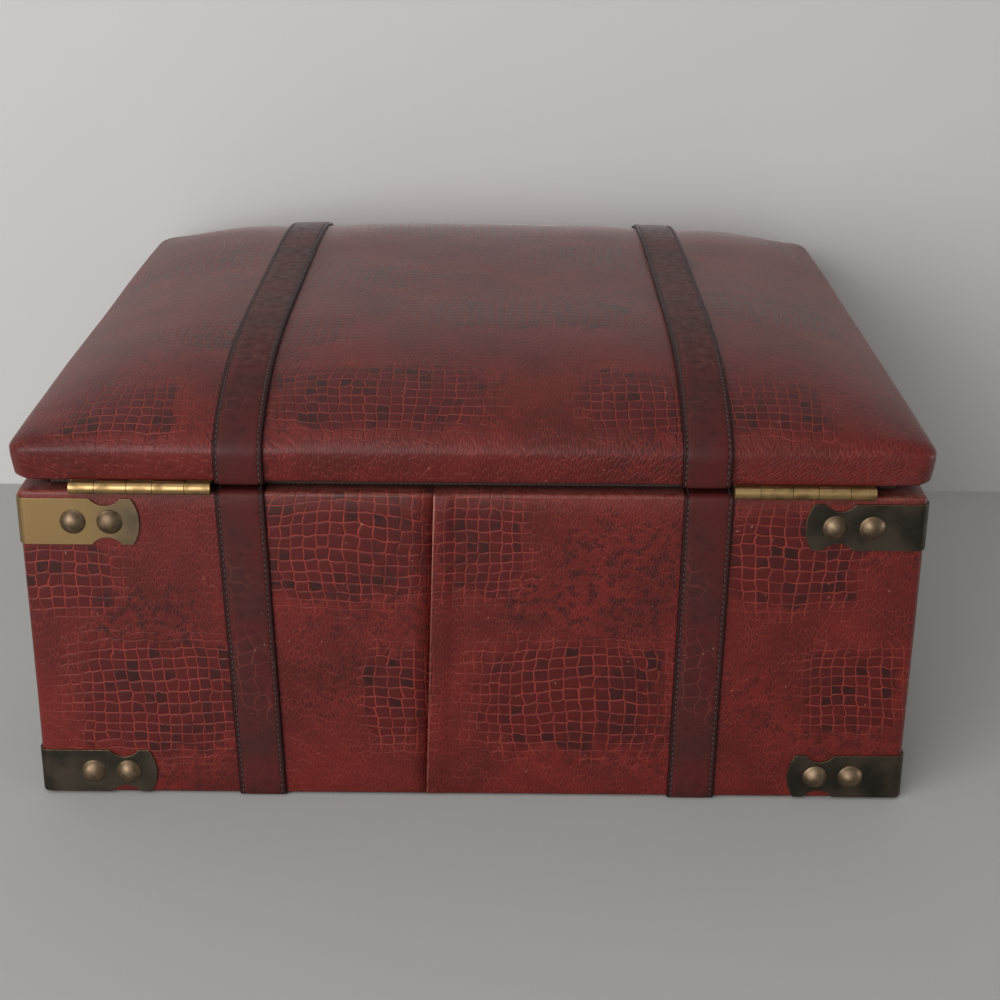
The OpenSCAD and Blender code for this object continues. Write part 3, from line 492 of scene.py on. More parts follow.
@dataclass(frozen=True)
class PlainMetal(Finish):
    """Drawn or pressed metal with a fine satin grain and faint tarnish."""

    name: str
    colour: str
    tarnish: str
    roughness: float = 0.34
    grain_mm: float = 0.6
    cloud_mm: float = 5.0

    def paint(self, add: Add) -> dict[str, Any]:
        """Satin grain along X and cloudy tarnish."""
        place = add(Node.PLACE)
        grain = add(Node.NOISE, add(Node.STRETCHED, place, (0.12, 1.0, 1.0)), 1 / (self.grain_mm * MM), 3.0)
        cloud = add(Node.NOISE, place, 1 / (self.cloud_mm * MM), 4.0)
        colour = add(Node.TINT, add(Node.RAMP, cloud, 0.45, 0.7, 0.0, 0.8), self.colour, self.tarnish)
        rub = add(Node.RAMP, add(Node.WEAR), 0.0, 1.0, 0.0, 0.5)
        return {
            "Base Color": add(Node.TINT, rub, colour, self.colour),
            "Metallic": 1.0,
            "Roughness": add(Node.RAMP, cloud, 0.3, 0.7, self.roughness - 0.06, self.roughness + 0.1),
            "Normal": add(Node.BUMP, 0.4, 0.05 * MM, grain),
        }


@dataclass(frozen=True)
class BookCloth(Finish):
    """Plain-woven cotton book cloth on card: threads 0.6 mm apart, drawn at 0.9 mm so that they show."""

    name: str = "woven_book_cloth"
    light: str = "#4b372f"
    shade: str = "#2f221d"
    pitch_mm: float = 0.9
    slub_threads: float = 5
    cloud_threads: float = 33.3

    def paint(self, add: Add) -> dict[str, Any]:
        """Warp and weft cross in turn."""
        flat = add(Node.SCALED, add(Node.FLAT), 1 / (MM * self.pitch_mm))
        slub = add(Node.STRETCHED, add(Node.DRIFT, flat, 1 / self.slub_threads, 2.0), (0.5, 0.5, 0.0))
        flat = add(Node.MOVED, flat, slub)
        warp = add(Node.SINE, add(Node.TIMES, add(Node.ACROSS, flat), math.pi))
        weft = add(Node.SINE, add(Node.TIMES, add(Node.ALONG, flat), math.pi))
        weave = add(Node.TIMES, warp, weft)
        cloud = add(Node.RAMP, add(Node.NOISE, flat, 1 / self.cloud_threads, 3.0), 0.4, 0.7, 0.0, 0.35)
        colour = add(Node.TINT, add(Node.RAMP, weave, -0.6, 0.6), self.shade, self.light)
        return {
            "Base Color": add(Node.TINT, cloud, colour, self.shade),
            "Roughness": 0.85,
            "Normal": add(Node.BUMP, 0.8, 0.15 * MM, add(Node.RAMP, add(Node.SIZE, weave), 0.0, 0.8)),
            "Sheen Weight": 0.15,
        }


@dataclass(frozen=True)
class Fibre(Finish):
    """Pressed or matted fibres or open foam: a speckled matt surface whose grain has the given size."""

    name: str
    light: str
    dark: str
    grain_mm: float
    depth_mm: float = 0.1
    sheen: float = 0.0

    def paint(self, add: Add) -> dict[str, Any]:
        """Speckle at the grain's size and clouds 25 times as large."""
        speck = add(Node.NOISE, add(Node.PLACE), 1 / (self.grain_mm * MM), 4.0)
        cloud = add(Node.NOISE, add(Node.PLACE), 1 / (25 * self.grain_mm * MM), 3.0)
        colour = add(Node.TINT, add(Node.RAMP, speck, 0.35, 0.65), self.dark, self.light)
        return {
            "Base Color": add(Node.TINT, add(Node.RAMP, cloud, 0.4, 0.7, 0.0, 0.4), colour, self.dark),
            "Roughness": 0.92,
            "Normal": add(Node.BUMP, 0.8, self.depth_mm * MM, speck),
            "Sheen Weight": self.sheen,
        }


@dataclass(frozen=True)
class MattPaint(Finish):
    """Matt emulsion, rolled on, which mirrors next to nothing.

    The wall's isn't seen from behind and lets light through there, so that it hides no view.
    """

    name: str
    colour: str
    one_sided: bool = False
    shade: str = "#8f8d8a"
    clouds_per_metre: float = 3.0

    def paint(self, add: Add) -> dict[str, Any]:
        """Faint clouds."""
        cloud = add(Node.NOISE, add(Node.PLACE), self.clouds_per_metre, 4.0)
        colour = add(Node.TINT, add(Node.RAMP, cloud, 0.3, 0.7, 0.0, 0.06), self.colour, self.shade)
        return {"Base Color": colour, "Roughness": 0.8, "Specular IOR Level": 0.2}

    def shader(self, add: Add) -> Any:
        """The paint, or nothing where one-sided paint is met from behind or by a lamp's light."""
        painted = super().shader(add)
        if not self.one_sided:
            return painted
        away = add(Node.MORE, add(Node.BACK), add(Node.SHADOW))
        return add(Node.MIX_SHADER, away, painted, add(Node.CLEAR))


BASE_CLOTH = CrocCloth(
    "leathercloth_croc_base",
    # Where the scales show on the back: middle of each patch from the box's middle and the foot, half sizes
    patches=(
        Patch(45, 105, 31, 23),
        Patch(-3, 105, 17, 21),
        Patch(-117, 101, 25, 20),
        Patch(149, 91, 20, 14),
        Patch(116, 42, 31, 24),
        Patch(-38, 43, 37, 23),
        Patch(-143, 46, 18, 18),
        Patch(26, 42, 12, 20),
        Patch(-196, 84, 14, 22),
        Patch(190, 60, 18, 26),
    ),
    stains=(Patch(-54, 92, 24, 24), Patch(118, 76, 20, 12), Patch(-30, 84, 20, 10)),
)
LID_CLOTH = CrocCloth(
    "leathercloth_croc_lid",
    patches=(
        Patch(36, 134, 41, 17),
        Patch(-60, 135, 21, 16),
        Patch(-111, 136, 20, 15),
        Patch(129, 140, 21, 14),
        Patch(84, 84, 34, 18),
        Patch(-20, 62, 44, 20),
        Patch(-120, 40, 30, 24),
        Patch(60, 8, 36, 20),
        Patch(-60, -30, 38, 24),
        Patch(130, -40, 28, 26),
        Patch(10, -92, 46, 22),
        Patch(-126, -110, 30, 24),
        Patch(100, -140, 40, 20),
        Patch(-40, -164, 42, 16),
    ),
    repeat=900.0,
    scale_mm=(4.6, 4.3),
    depth_mm=0.42,
)
LEATHER = StrapLeather()
THREAD = WaxedThread()
HINGE_BRASS = PlainMetal("pressed_hinge_brass", "#a3875c", "#6b5537", 0.38)
STEEL = PlainMetal("nickelled_steel", "#b9bab9", "#8b8a86", 0.3)
NAIL_BRASS = AgedBrass("turned_brass_antiqued", brown="#806c57", dark="#655544", cloud_mm=3.0)
BUCKLE_BRASS = AgedBrass("wire_brass_antiqued", brown="#7c6a52", dark="#584c3e", cloud_mm=6.0)
BRACKET_DARK = AgedBrass("stamped_brass_dark")
BRACKET_BARE = AgedBrass("stamped_brass_bare", brown="#6f5f4b", dark="#574c40", bare_x=(0.126, 0.152))
CLOTH = BookCloth()
FELT = Fibre("wool_felt", "#3a3534", "#201c1c", 0.5, 0.15, 0.2)
FIBREBOARD = Fibre("sanded_fibreboard", "#b08d63", "#8c6c48", 0.7)
FOAM = Fibre("open_cell_foam", "#e2d9ba", "#c5b98f", 0.9, 0.3)
TABLE_PAINT = MattPaint("painted_table", "#a8a8a5")
WALL_PAINT = MattPaint("painted_wall", "#bfbdbb", one_sided=True)


# Meshes


def flat_grid(columns: Sequence[float], rows: Sequence[float], place: Callable[[int, int], Vector]) -> Mesh:
    """A grid cut flat, in real size, and then bent onto its place. The cut's sizes become its UV map.

    Args:
        columns: places of the grid's upright lines on the flat cut, in metres.
        rows: places of its level lines.
        place: gives the point of a column's and a row's number in the row frame.

    Returns:
        The bent grid.
    """
    bm = bmesh.new()
    across, along = len(columns) - 1, len(rows) - 1
    bmesh.ops.create_grid(bm, x_segments=across, y_segments=along, size=0.5)
    layer = bm.loops.layers.uv.new("real_size")
    spots = {v: (round((v.co.x + 0.5) * across), round((v.co.y + 0.5) * along)) for v in bm.verts}
    for face in bm.faces:
        for loop in face.loops:
            i, j = spots[loop.vert]
            loop[layer].uv = (columns[i], rows[j])
    for vert, (i, j) in spots.items():
        vert.co = place(i, j)
    return bm


def box_uv(bm: Mesh) -> None:
    """Gives each face the UV map of the plane it faces most, in metres."""
    layer = bm.loops.layers.uv.verify()
    for face in bm.faces:
        axis = max(range(3), key=lambda k: abs(face.normal[k]))
        first, second = [k for k in range(3) if k != axis]
        for loop in face.loops:
            loop[layer].uv = (loop.vert.co[first], loop.vert.co[second])


def put(
    bm: Mesh, name: str, body: str, finishes: Sequence[Finish], stands_for: Sequence[str],
    sharp: float = 40.0,
) -> bpy.types.Object:
    """Makes a mesh an object that rides on its body.

    Args:
        bm: the mesh, which is freed.
        name: the piece's name.
        body: the CAD body that it moves with, or nothing, which leaves it on no body.
        finishes: its finishes, by the faces' material number.
        stands_for: CAD nodes that it replaces.
        sharp: angle in degrees above which an edge stays sharp.

    Returns:
        The object.
    """
    for face in bm.faces:
        face.smooth = True
    for edge in bm.edges:
        edge.smooth = not edge.is_manifold or edge.calc_face_angle(0.0) < math.radians(sharp)
    mesh = bpy.data.meshes.new(name)
    bm.to_mesh(mesh)
    bm.free()
    for finish in finishes:
        mesh.materials.append(finish.material())
    piece = bpy.data.objects.new(name, mesh)
    bpy.context.scene.collection.objects.link(piece)
    if body:
        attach(piece, body)
    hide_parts(*stands_for)
    log.info("%s: %d faces", name, len(mesh.polygons))
    return piece


def softened_copy(
    node: str, name: str, finish: Finish, edge: float, segments: int = 2
) -> bpy.types.Object:
    """A CAD node's form with its sharp edges rounded, as a stamped, cut or wrapped edge is.

    Args:
        node: the CAD node that it stands for.
        name: the piece's name.
        finish: its finish.
        edge: width of the rounding, in metres.
        segments: faces across the rounding.

    Returns:
        The object.
    """
    source = frame["nodes"][node]
    bm = bmesh.new()
    bm.from_mesh(source.data)
    for layer in list(bm.loops.layers.uv.values()):
        bm.loops.layers.uv.remove(layer)
    bmesh.ops.remove_doubles(bm, verts=bm.verts, dist=1e-6)
    bmesh.ops.dissolve_limit(
        bm, angle_limit=math.radians(1), verts=bm.verts, edges=bm.edges,
        use_dissolve_boundaries=False, delimit=set(),
    )
    sharp = [e for e in bm.edges if e.is_manifold and e.calc_face_angle(0.0) > math.radians(35)]
    rounded = bmesh.ops.bevel(
        bm, geom=sharp, offset=edge, segments=segments, profile=0.5,
        affect="EDGES", material=-1, clamp_overlap=True,
    )
    # The new layer starts out white, so the flat faces are set to unworn
    wear = bm.loops.layers.float_color.new("wear")
    for faces, amount in ((bm.faces, 0.0), (rounded["faces"], 1.0)):
        for face in faces:
            for loop in face.loops if face.is_valid else ():
                loop[wear] = (amount, amount, amount, 1.0)
    bm.normal_update()
    box_uv(bm)
    piece = put(bm, name, source["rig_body"], [finish], [node], sharp=50.0)
    piece.modifiers.new("flat_faces", "WEIGHTED_NORMAL").keep_sharp = True
    return piece


def dress(node: str, finish: Finish) -> None:
    """Gives a CAD node a finish in place of its plain one."""
    data = frame["nodes"][node].data
    data.materials.clear()
    data.materials.append(finish.material())
    log.info("%s: %s", node, finish.name)


def thicken(piece: bpy.types.Object, thickness: float) -> None:
    """Gives a sheet its thickness, inwards from its face."""
    solid = piece.modifiers.new("cloth", "SOLIDIFY")
    solid.thickness = thickness
    solid.offset = -1.0


def turned(profile: Sequence[tuple[float, float]], steps: int) -> Mesh:
    """Turns a half section round the Z axis.

    Args:
        profile: radius and height of each point.
        steps: faces round.

    Returns:
        The turned mesh.
    """
    bm = bmesh.new()
    verts = [bm.verts.new((r, 0, z)) for r, z in profile]
    edges = [bm.edges.new(pair) for pair in zip(verts, verts[1:])]
    bmesh.ops.spin(
        bm, geom=verts + edges, cent=(0, 0, 0), axis=(0, 0, 1), angle=math.tau, steps=steps, use_merge=True
    )
    bmesh.ops.remove_doubles(bm, verts=bm.verts, dist=1e-7)
    return bm


def join(part: Mesh, whole: Mesh, place: Matrix) -> None:
    """Puts a part's mesh into the whole at its place, and frees the part."""
    bmesh.ops.transform(part, matrix=place, verts=part.verts)
    held = bpy.data.meshes.new("held")
    part.to_mesh(held)
    part.free()
    whole.from_mesh(held)
    bpy.data.meshes.remove(held)


# The base's covering


@dataclass(frozen=True)
class BaseWrap:
    """Leathercloth round the base, with its lap seam on the back, turned over the rim and under the foot."""

    half_x: float = 165 * MM
    half_y: float = 155 * MM
    corner: float = 3 * MM
    edge: float = 1.4 * MM
    foot: float = 0.6 * MM
    rim: float = 125.2 * MM
    lip_in: float = 9.2 * MM
    inside_in: float = 10 * MM
    turn_in: float = 12 * MM
    turn_under: float = 16 * MM
    seam: float = 16 * MM
    lap: float = 9 * MM
    lap_height: float = 0.7 * MM
    # The grid's lines over the lap, in millimetres from its edge, closest where the sheet bends
    lap_lines: tuple[float, ...] = (0, 0.3, 0.7, 1.2, 2.4, 4, 5.5, 7, 8, 9)
    # How far the lap was laid off the upright, at the rim and at the foot
    seam_lean: tuple[float, float] = (-1.9 * MM, 1.6 * MM)
    lean_width: float = 40 * MM
    thickness: float = 0.9 * MM
    column: float = 7 * MM
    wall_rows: int = 17
    ripple: float = 0.22 * MM

    def outline(self) -> list[tuple[float, Vector, Vector]]:
        """The plan's outline from the seam round to the seam again, seen from above against the clock.

        Returns:
            For each column: length from the seam, point, outward direction.
        """
        x, y = self.half_x, self.half_y
        straight_x, straight_y = x - self.corner, y - self.corner
        path = [(Vector((self.seam - line * MM, y)), Vector((0, 1))) for line in self.lap_lines]
        sides = [
            ((self.seam - self.lap, y), (-straight_x, y), (0, 1)),
            ((-x, straight_y), (-x, -straight_y), (-1, 0)),
            ((-straight_x, -y), (straight_x, -y), (0, -1)),
            ((x, -straight_y), (x, straight_y), (1, 0)),
            ((straight_x, y), (self.seam, y), (0, 1)),
        ]
        for number, side in enumerate(sides):
            start, end, out = (Vector(pair) for pair in side)
            count = max(2, round((end - start).length / self.column))
            path += [(start.lerp(end, k / count), out) for k in range(0 if number else 1, count + 1)]
            if number == len(sides) - 1:
                break
            centre = end - out * self.corner
            for k in range(1, 6):
                angle = math.radians(90 * number + 90 + 15 * k)
                way = Vector((math.cos(angle), math.sin(angle)))
                path.append((centre + way * self.corner, way))
        lengths = lengths_along([point for point, _ in path])
        return [(length, point, out) for length, (point, out) in zip(lengths, path)]

    def section(self) -> list[Row]:
        """The sheet's section from under the foot up the wall and down inside.

        Returns:
            For each row: length on the cut, distance in from the wall, height.
        """
        bend, foot, wall = self.edge, self.foot + self.edge, self.rim - self.edge
        drop = self.inside_in - self.lip_in
        count = self.wall_rows
        rows = [
            (self.turn_under, self.foot),
            (self.turn_under / 2, self.foot),
            *((bend * (1 - math.sin(a)), self.foot + bend * (1 - math.cos(a))) for a in BEND),
            *((0.0, foot + (wall - foot) * k / count) for k in range(1, count)),
            *((bend * (1 - math.cos(a)), wall + bend * math.sin(a)) for a in BEND),
            ((bend + self.lip_in) / 2, self.rim),
            (self.lip_in, self.rim),
            *((self.lip_in + drop * math.sin(a), self.rim - drop * (1 - math.cos(a))) for a in BEND[2::2]),
            (self.inside_in, self.rim - self.turn_in / 2),
            (self.inside_in, self.rim - self.turn_in),
        ]
        lengths = lengths_along(rows)
        # Lengths on the cut are counted so that they agree with heights on the wall
        first_on_wall = next(k for k, row in enumerate(rows) if row[0] == 0.0)
        start = lengths[first_on_wall] - rows[first_on_wall][1]
        return [(length - start, inset, height) for length, (inset, height) in zip(lengths, rows)]

    def point(self, spot: Vector, out: Vector, inset: float) -> Vector:
        """A plan point drawn in by a distance. Past the corner's radius the corners stay square."""
        if inset <= self.corner:
            return spot - out * inset
        base = spot - out * self.corner
        return Vector((
            base.x * (self.half_x - inset) / (self.half_x - self.corner),
            base.y * (self.half_y - inset) / (self.half_y - self.corner),
        ))

    def lap_rise(self, length: float, height: float) -> float:
        """How far the sheet stands out over its own start, which the rim and the foot press flat.

        Args:
            length: length from the seam, within the lap.
            height: height above the table.

        Returns:
            The distance, in metres.
        """
        rise = self.lap_height * (1 - ease((length - 0.45 * self.lap) / (0.55 * self.lap)))
        pressed = ease((height - self.foot) / (6 * MM)) * ease((self.rim - height) / (1.2 * MM))
        return rise * (0.35 + 0.65 * pressed)

    def wear_at(self, spot: Vector, on_lap_edge: bool) -> float:
        """How far the colour is rubbed off along the rim, and how pale the lap's edge is painted: part wear,
        part a painted highlight of its lit ridge, most in its upper half.
        """
        rim = 0.25 * ease(1 - abs(spot.z - self.rim) / (2.2 * MM))
        # Along the lap's edge a painted highlight of the lit ridge runs all the way up, and wear pales it
        # further towards the rim
        lap_wear_and_highlight = 0.25 + 0.6 * ease((spot.z - 70 * MM) / (50 * MM)) if on_lap_edge else 0.0
        return max(rim, lap_wear_and_highlight)

    def build(self) -> None:
        """Cuts the sheet, wraps it and lays its end over its start."""
        columns = self.outline()
        rows = self.section()
        last = len(columns) - 1

        def place(i: int, j: int) -> Vector:
            """The wrapped sheet's point at a column and a row."""
            length, spot, out = columns[i]
            _, inset, height = rows[j]
            plan = self.point(spot, out, inset)
            if out.y > 0.99:
                rim_lean, foot_lean = self.seam_lean
                lean = foot_lean + (rim_lean - foot_lean) * min(max(height / self.rim, 0), 1)
                plan.x += lean * ease(1 - abs(spot.x - self.seam) / self.lean_width)
            proud = 0.0
            if inset <= self.edge:
                ripple = noise.noise(Vector((length * 22, height * 22, 0.3))) * self.ripple
                ripple *= ease((height - self.foot) / (12 * MM)) * ease((self.rim - height) / (12 * MM))
                proud = ripple + (self.lap_rise(length, height) if length < self.lap and i < last else 0.0)
            return Vector((*plan, height)) + out.to_3d() * proud

        bm = flat_grid([self.seam - c[0] for c in columns], [r[0] for r in rows], place)
        wear = bm.verts.layers.float_color.new("wear")
        uv = bm.loops.layers.uv.verify()
        loops = (loop for face in bm.faces for loop in face.loops)
        lap_edge = {loop.vert for loop in loops if loop[uv].uv.x > self.seam - 0.5 * MM}
        # The wear layer also carries the painted highlight along the lap's edge
        for vert in bm.verts:
            amount = self.wear_at(vert.co, vert in lap_edge and vert.co.y > self.half_y - 0.2 * MM)
            vert[wear] = (amount, amount, amount, 1)
        piece = put(bm, "base_wrap", "base", [BASE_CLOTH], ["base_cover"], sharp=60)
        thicken(piece, self.thickness)
        log.info("base wrap's girth: %.1f mm", columns[-1][0] / MM)


# The lid


@dataclass(frozen=True)
class LidForm:
    """The padded lid's surface, from the same section as the CAD lid's."""

    half_x: float = 167 * MM
    half_y: float = 157 * MM
    bottom: float = 130 * MM
    widest: float = 141 * MM
    roll: float = 6 * MM
    roll_height: float = 3 * MM
    roll_rows: int = 6
    crown_height: float = 22 * MM
    crown_power: float = 5.0
    corner: float = 7 * MM
    corner_growth: float = 0.5
    edge_in: float = 1 * MM
    hem: float = 0.8 * MM
    turned: float = 17 * MM

    def crown(self, x: float, y: float) -> float:
        """Rise of the crown above the shoulder."""
        along = 1 - min(abs(x) / self.half_x, 1) ** self.crown_power
        return self.crown_height * along * (1 - min(abs(y) / self.half_y, 1) ** self.crown_power)

    @property
    def inner_x(self) -> float:
        """Half width of the top, up to its shoulder."""
        return self.half_x - self.roll

    @property
    def inner_y(self) -> float:
        """Half depth of the top, up to its shoulder."""
        return self.half_y - self.roll

    def section(self) -> list[Row]:
        """Rows from the shoulder out and down to the turned edge below.

        Returns:
            For each row: distance in, height, share of crown.
        """
        rows: list[Row] = []
        for k in range(self.roll_rows + 1):
            a = math.radians(90 - 90 * k / self.roll_rows)
            rows.append((self.roll * (1 - math.cos(a)), self.widest + self.roll_height * math.sin(a), 1.0))
        side = self.widest - self.bottom
        for t in (0.86, 0.72, 0.58, 0.44, 0.3, 0.18, self.hem / side):
            rows.append((self.edge_in * (1 - math.sin(math.radians(90 * t))), self.bottom + side * t, 0.0))
        for a in (30, 60, 90):
            inset = self.edge_in + self.hem * (1 - math.cos(math.radians(a)))
            rows.append((inset, self.bottom + self.hem * (1 - math.sin(math.radians(a))), 0.0))
        return rows + [(inset, self.bottom, 0.0) for inset in (6 * MM, 11 * MM, self.turned)]

    def lengths(self) -> list[float]:
        """Length of the sheet from the shoulder to each row of the section."""
        return lengths_along([row[:2] for row in self.section()])

    def at(self, past: float) -> Row:
        """The section's row at a length past the shoulder, or before it where negative.

        Args:
            past: the length, in metres.

        Returns:
            Distance in, height, share of crown.
        """
        if past <= 0:
            return self.roll - past, self.widest + self.roll_height, 1.0
        rows, lengths = self.section(), self.lengths()
        for k in range(1, len(rows)):
            if past <= lengths[k] + 1e-9:
                share = (past - lengths[k - 1]) / (lengths[k] - lengths[k - 1])
                low, high = rows[k - 1], rows[k]
                return tuple(low[n] + (high[n] - low[n]) * share for n in range(3))
        return rows[-1]

    @staticmethod
    def ring(u: float, v: float, outline: tuple[float, float], cut: tuple[float, float], r: float) -> Vector:
        """Moves a point of a flat cut's rectangular ring onto an outline with round corners.

        Args:
            u: place across on the cut.
            v: place along on the cut.
            outline: half width and half depth of the outline.
            cut: half width and half depth of the cut's ring.
            r: radius of the outline's corners.

        Returns:
            The plan point.
        """
        (hx, hy), (flat_x, flat_y) = outline, cut
        on_side = abs(u) / flat_x >= abs(v) / flat_y if flat_y > 0 else False
        along, half, across, limit = (v, hy, hx, flat_y) if on_side else (u, hx, hy, flat_x)
        whole = (half - r) + math.pi / 4 * r
        run = abs(along) / limit * whole if limit > 0 else 0.0
        if run <= half - r:
            a, b = run, across
        else:
            turn = (run - (half - r)) / r
            a, b = half - r + r * math.sin(turn), across - r + r * math.cos(turn)
        a = math.copysign(a, along)
        b = math.copysign(b, u if on_side else v)
        return Vector((b, a)) if on_side else Vector((a, b))

    def point(self, u: float, v: float, sink: float = 0.0) -> Vector:
        """The surface's point for a point of the flat sheet, whose middle is the lid's."""
        past = max(abs(u) - self.inner_x, abs(v) - self.inner_y)
        inset, height, share = self.at(past)
        radius = self.corner + self.corner_growth * max(inset, 0)
        if past < 0:
            # Inside the shoulder the rings' corners grow sharper, over 90 mm
            radius = (self.corner + self.corner_growth * self.roll) * ease(1 + past / (90 * MM))
        outline = self.half_x - inset - sink, max(self.half_y - inset - sink, 1e-6)
        cut = self.inner_x + past, max(self.inner_y + past, 1e-6)
        plan = self.ring(u, v, outline, cut, min(radius, 0.9 * outline[1]))
        return Vector((plan.x, plan.y, height - sink + share * self.crown(plan.x, plan.y)))

    def lines(self, half: float, step: float) -> list[float]:
        """Places of the sheet's grid lines on one axis: even on the top, closer over the edge."""
        count = max(2, round(2 * half / step))
        top = [-half + 2 * half * k / count for k in range(count + 1)]
        over = [half + length for length in self.lengths()[1:]]
        return [-x for x in reversed(over)] + top + over


LID = LidForm()


@dataclass(frozen=True)
class PaddedLid:
    """The lid's padding and its leathercloth, drawn down beside the straps and pleated at the corners."""

    strap_x: float = 84 * MM
    strap_half: float = 9 * MM
    swell: float = 1.1 * MM
    thickness: float = 0.9 * MM
    foam_under: float = 1.4 * MM
    # The swelling dies out over the shoulder, so that the open lid clears the nails on the back
    swell_end: float = 7.4 * MM
    pleat_depth: float = 0.35 * MM
    pleat_wave: float = 1.6 * MM
    pleats_reach: float = 18 * MM
    pleats_from: float = 4 * MM
    pleats_end: float = 33 * MM
    foam_foot: float = 139.2 * MM

    def swollen(self, u: float, v: float) -> float:
        """How far the padding stands out of its even form at a point of the sheet.

        Args:
            u: place across on the sheet.
            v: place along on the sheet.

        Returns:
            The distance, in metres.
        """
        beside = max(min(abs(u - self.strap_x), abs(u + self.strap_x)) - self.strap_half, 0.0)
        past = max(abs(u) - LID.inner_x, abs(v) - LID.inner_y)
        fade = ease(1 - max(past, 0) / self.swell_end)
        free = self.swell * (1 - math.exp(-((beside / (13 * MM)) ** 2)))
        under_strap = ease(beside / (10 * MM))
        slow = noise.noise(Vector((u * 16, v * 16, 1.7))) * 0.5 * MM
        quick = noise.noise(Vector((u * 45, v * 45, 4))) * 0.14 * MM
        return (free + (slow + quick) * under_strap) * fade - self.pleated(u, v, past)

    def pleated(self, u: float, v: float, past: float) -> float:
        """How deep the pleats are at a point near a corner.

        Args:
            u: place across on the sheet.
            v: place along on the sheet.
            past: length past the shoulder.

        Returns:
            The depth, in metres.
        """
        if past <= self.pleats_from:
            return 0.0
        corner_x = abs(abs(u) - LID.inner_x - past)
        corner_y = abs(abs(v) - LID.inner_y - past)
        cramped = ease(1 - corner_x / self.pleats_reach) * ease(1 - corner_y / self.pleats_reach)
        wave = 0.5 + 0.5 * math.cos((abs(u) - abs(v)) / self.pleat_wave)
        begun = ease((past - self.pleats_from) / (10 * MM))
        left = ease((self.pleats_end - past) / (6 * MM))
        return self.pleat_depth * cramped * wave * begun * left

    def sheet(self, step: float, sink: float, rows_past: float) -> Mesh:
        """The sheet's grid on the lid, up to a length past the shoulder."""
        across, along = (
            [x for x in LID.lines(half, step) if abs(x) <= half + rows_past + 1e-9]
            for half in (LID.inner_x, LID.inner_y)
        )
        bm = flat_grid(across, along, lambda i, j: LID.point(across[i], along[j], sink))
        bm.normal_update()
        layer = bm.loops.layers.uv.verify()
        moves = {v: v.normal * self.swollen(*v.link_loops[0][layer].uv) for v in bm.verts}
        for vert, move in moves.items():
            vert.co += move
        return bm

    def build(self) -> None:
        """Lays the foam and then the leathercloth over it."""
        bm = self.sheet(4.2 * MM, 0.0, LID.lengths()[-1])
        bmesh.ops.remove_doubles(bm, verts=bm.verts, dist=1e-7)
        cover = put(bm, "lid_padded_cover", "lid", [LID_CLOTH], ["lid_cover"], sharp=75)
        thicken(cover, self.thickness)
        foam = self.sheet(9 * MM, self.foam_under, LID.lengths()[LID.roll_rows])
        rim = [e for e in foam.edges if e.is_boundary]
        drop = bmesh.ops.extrude_edge_only(foam, edges=rim)
        low = [v for v in drop["geom"] if isinstance(v, bmesh.types.BMVert)]
        for vert in low:
            vert.co.z = self.foam_foot
        bmesh.ops.holes_fill(foam, edges=[e for e in foam.edges if e.is_boundary], sides=0)
        bmesh.ops.recalc_face_normals(foam, faces=foam.faces)
        pad = put(foam, "lid_foam_pad", "lid", [FOAM], ["lid_foam"])


# Straps


@dataclass(frozen=True)
class StrapRow:
    """One row along a strap: its seat's point at a distance across, and the strap's lift off the seat there.

    Thick and wide are its shares of full thickness and width.
    """

    seat: Place
    lift: float = 0.0
    thick: float = 1.0
    wide: float = 1.0


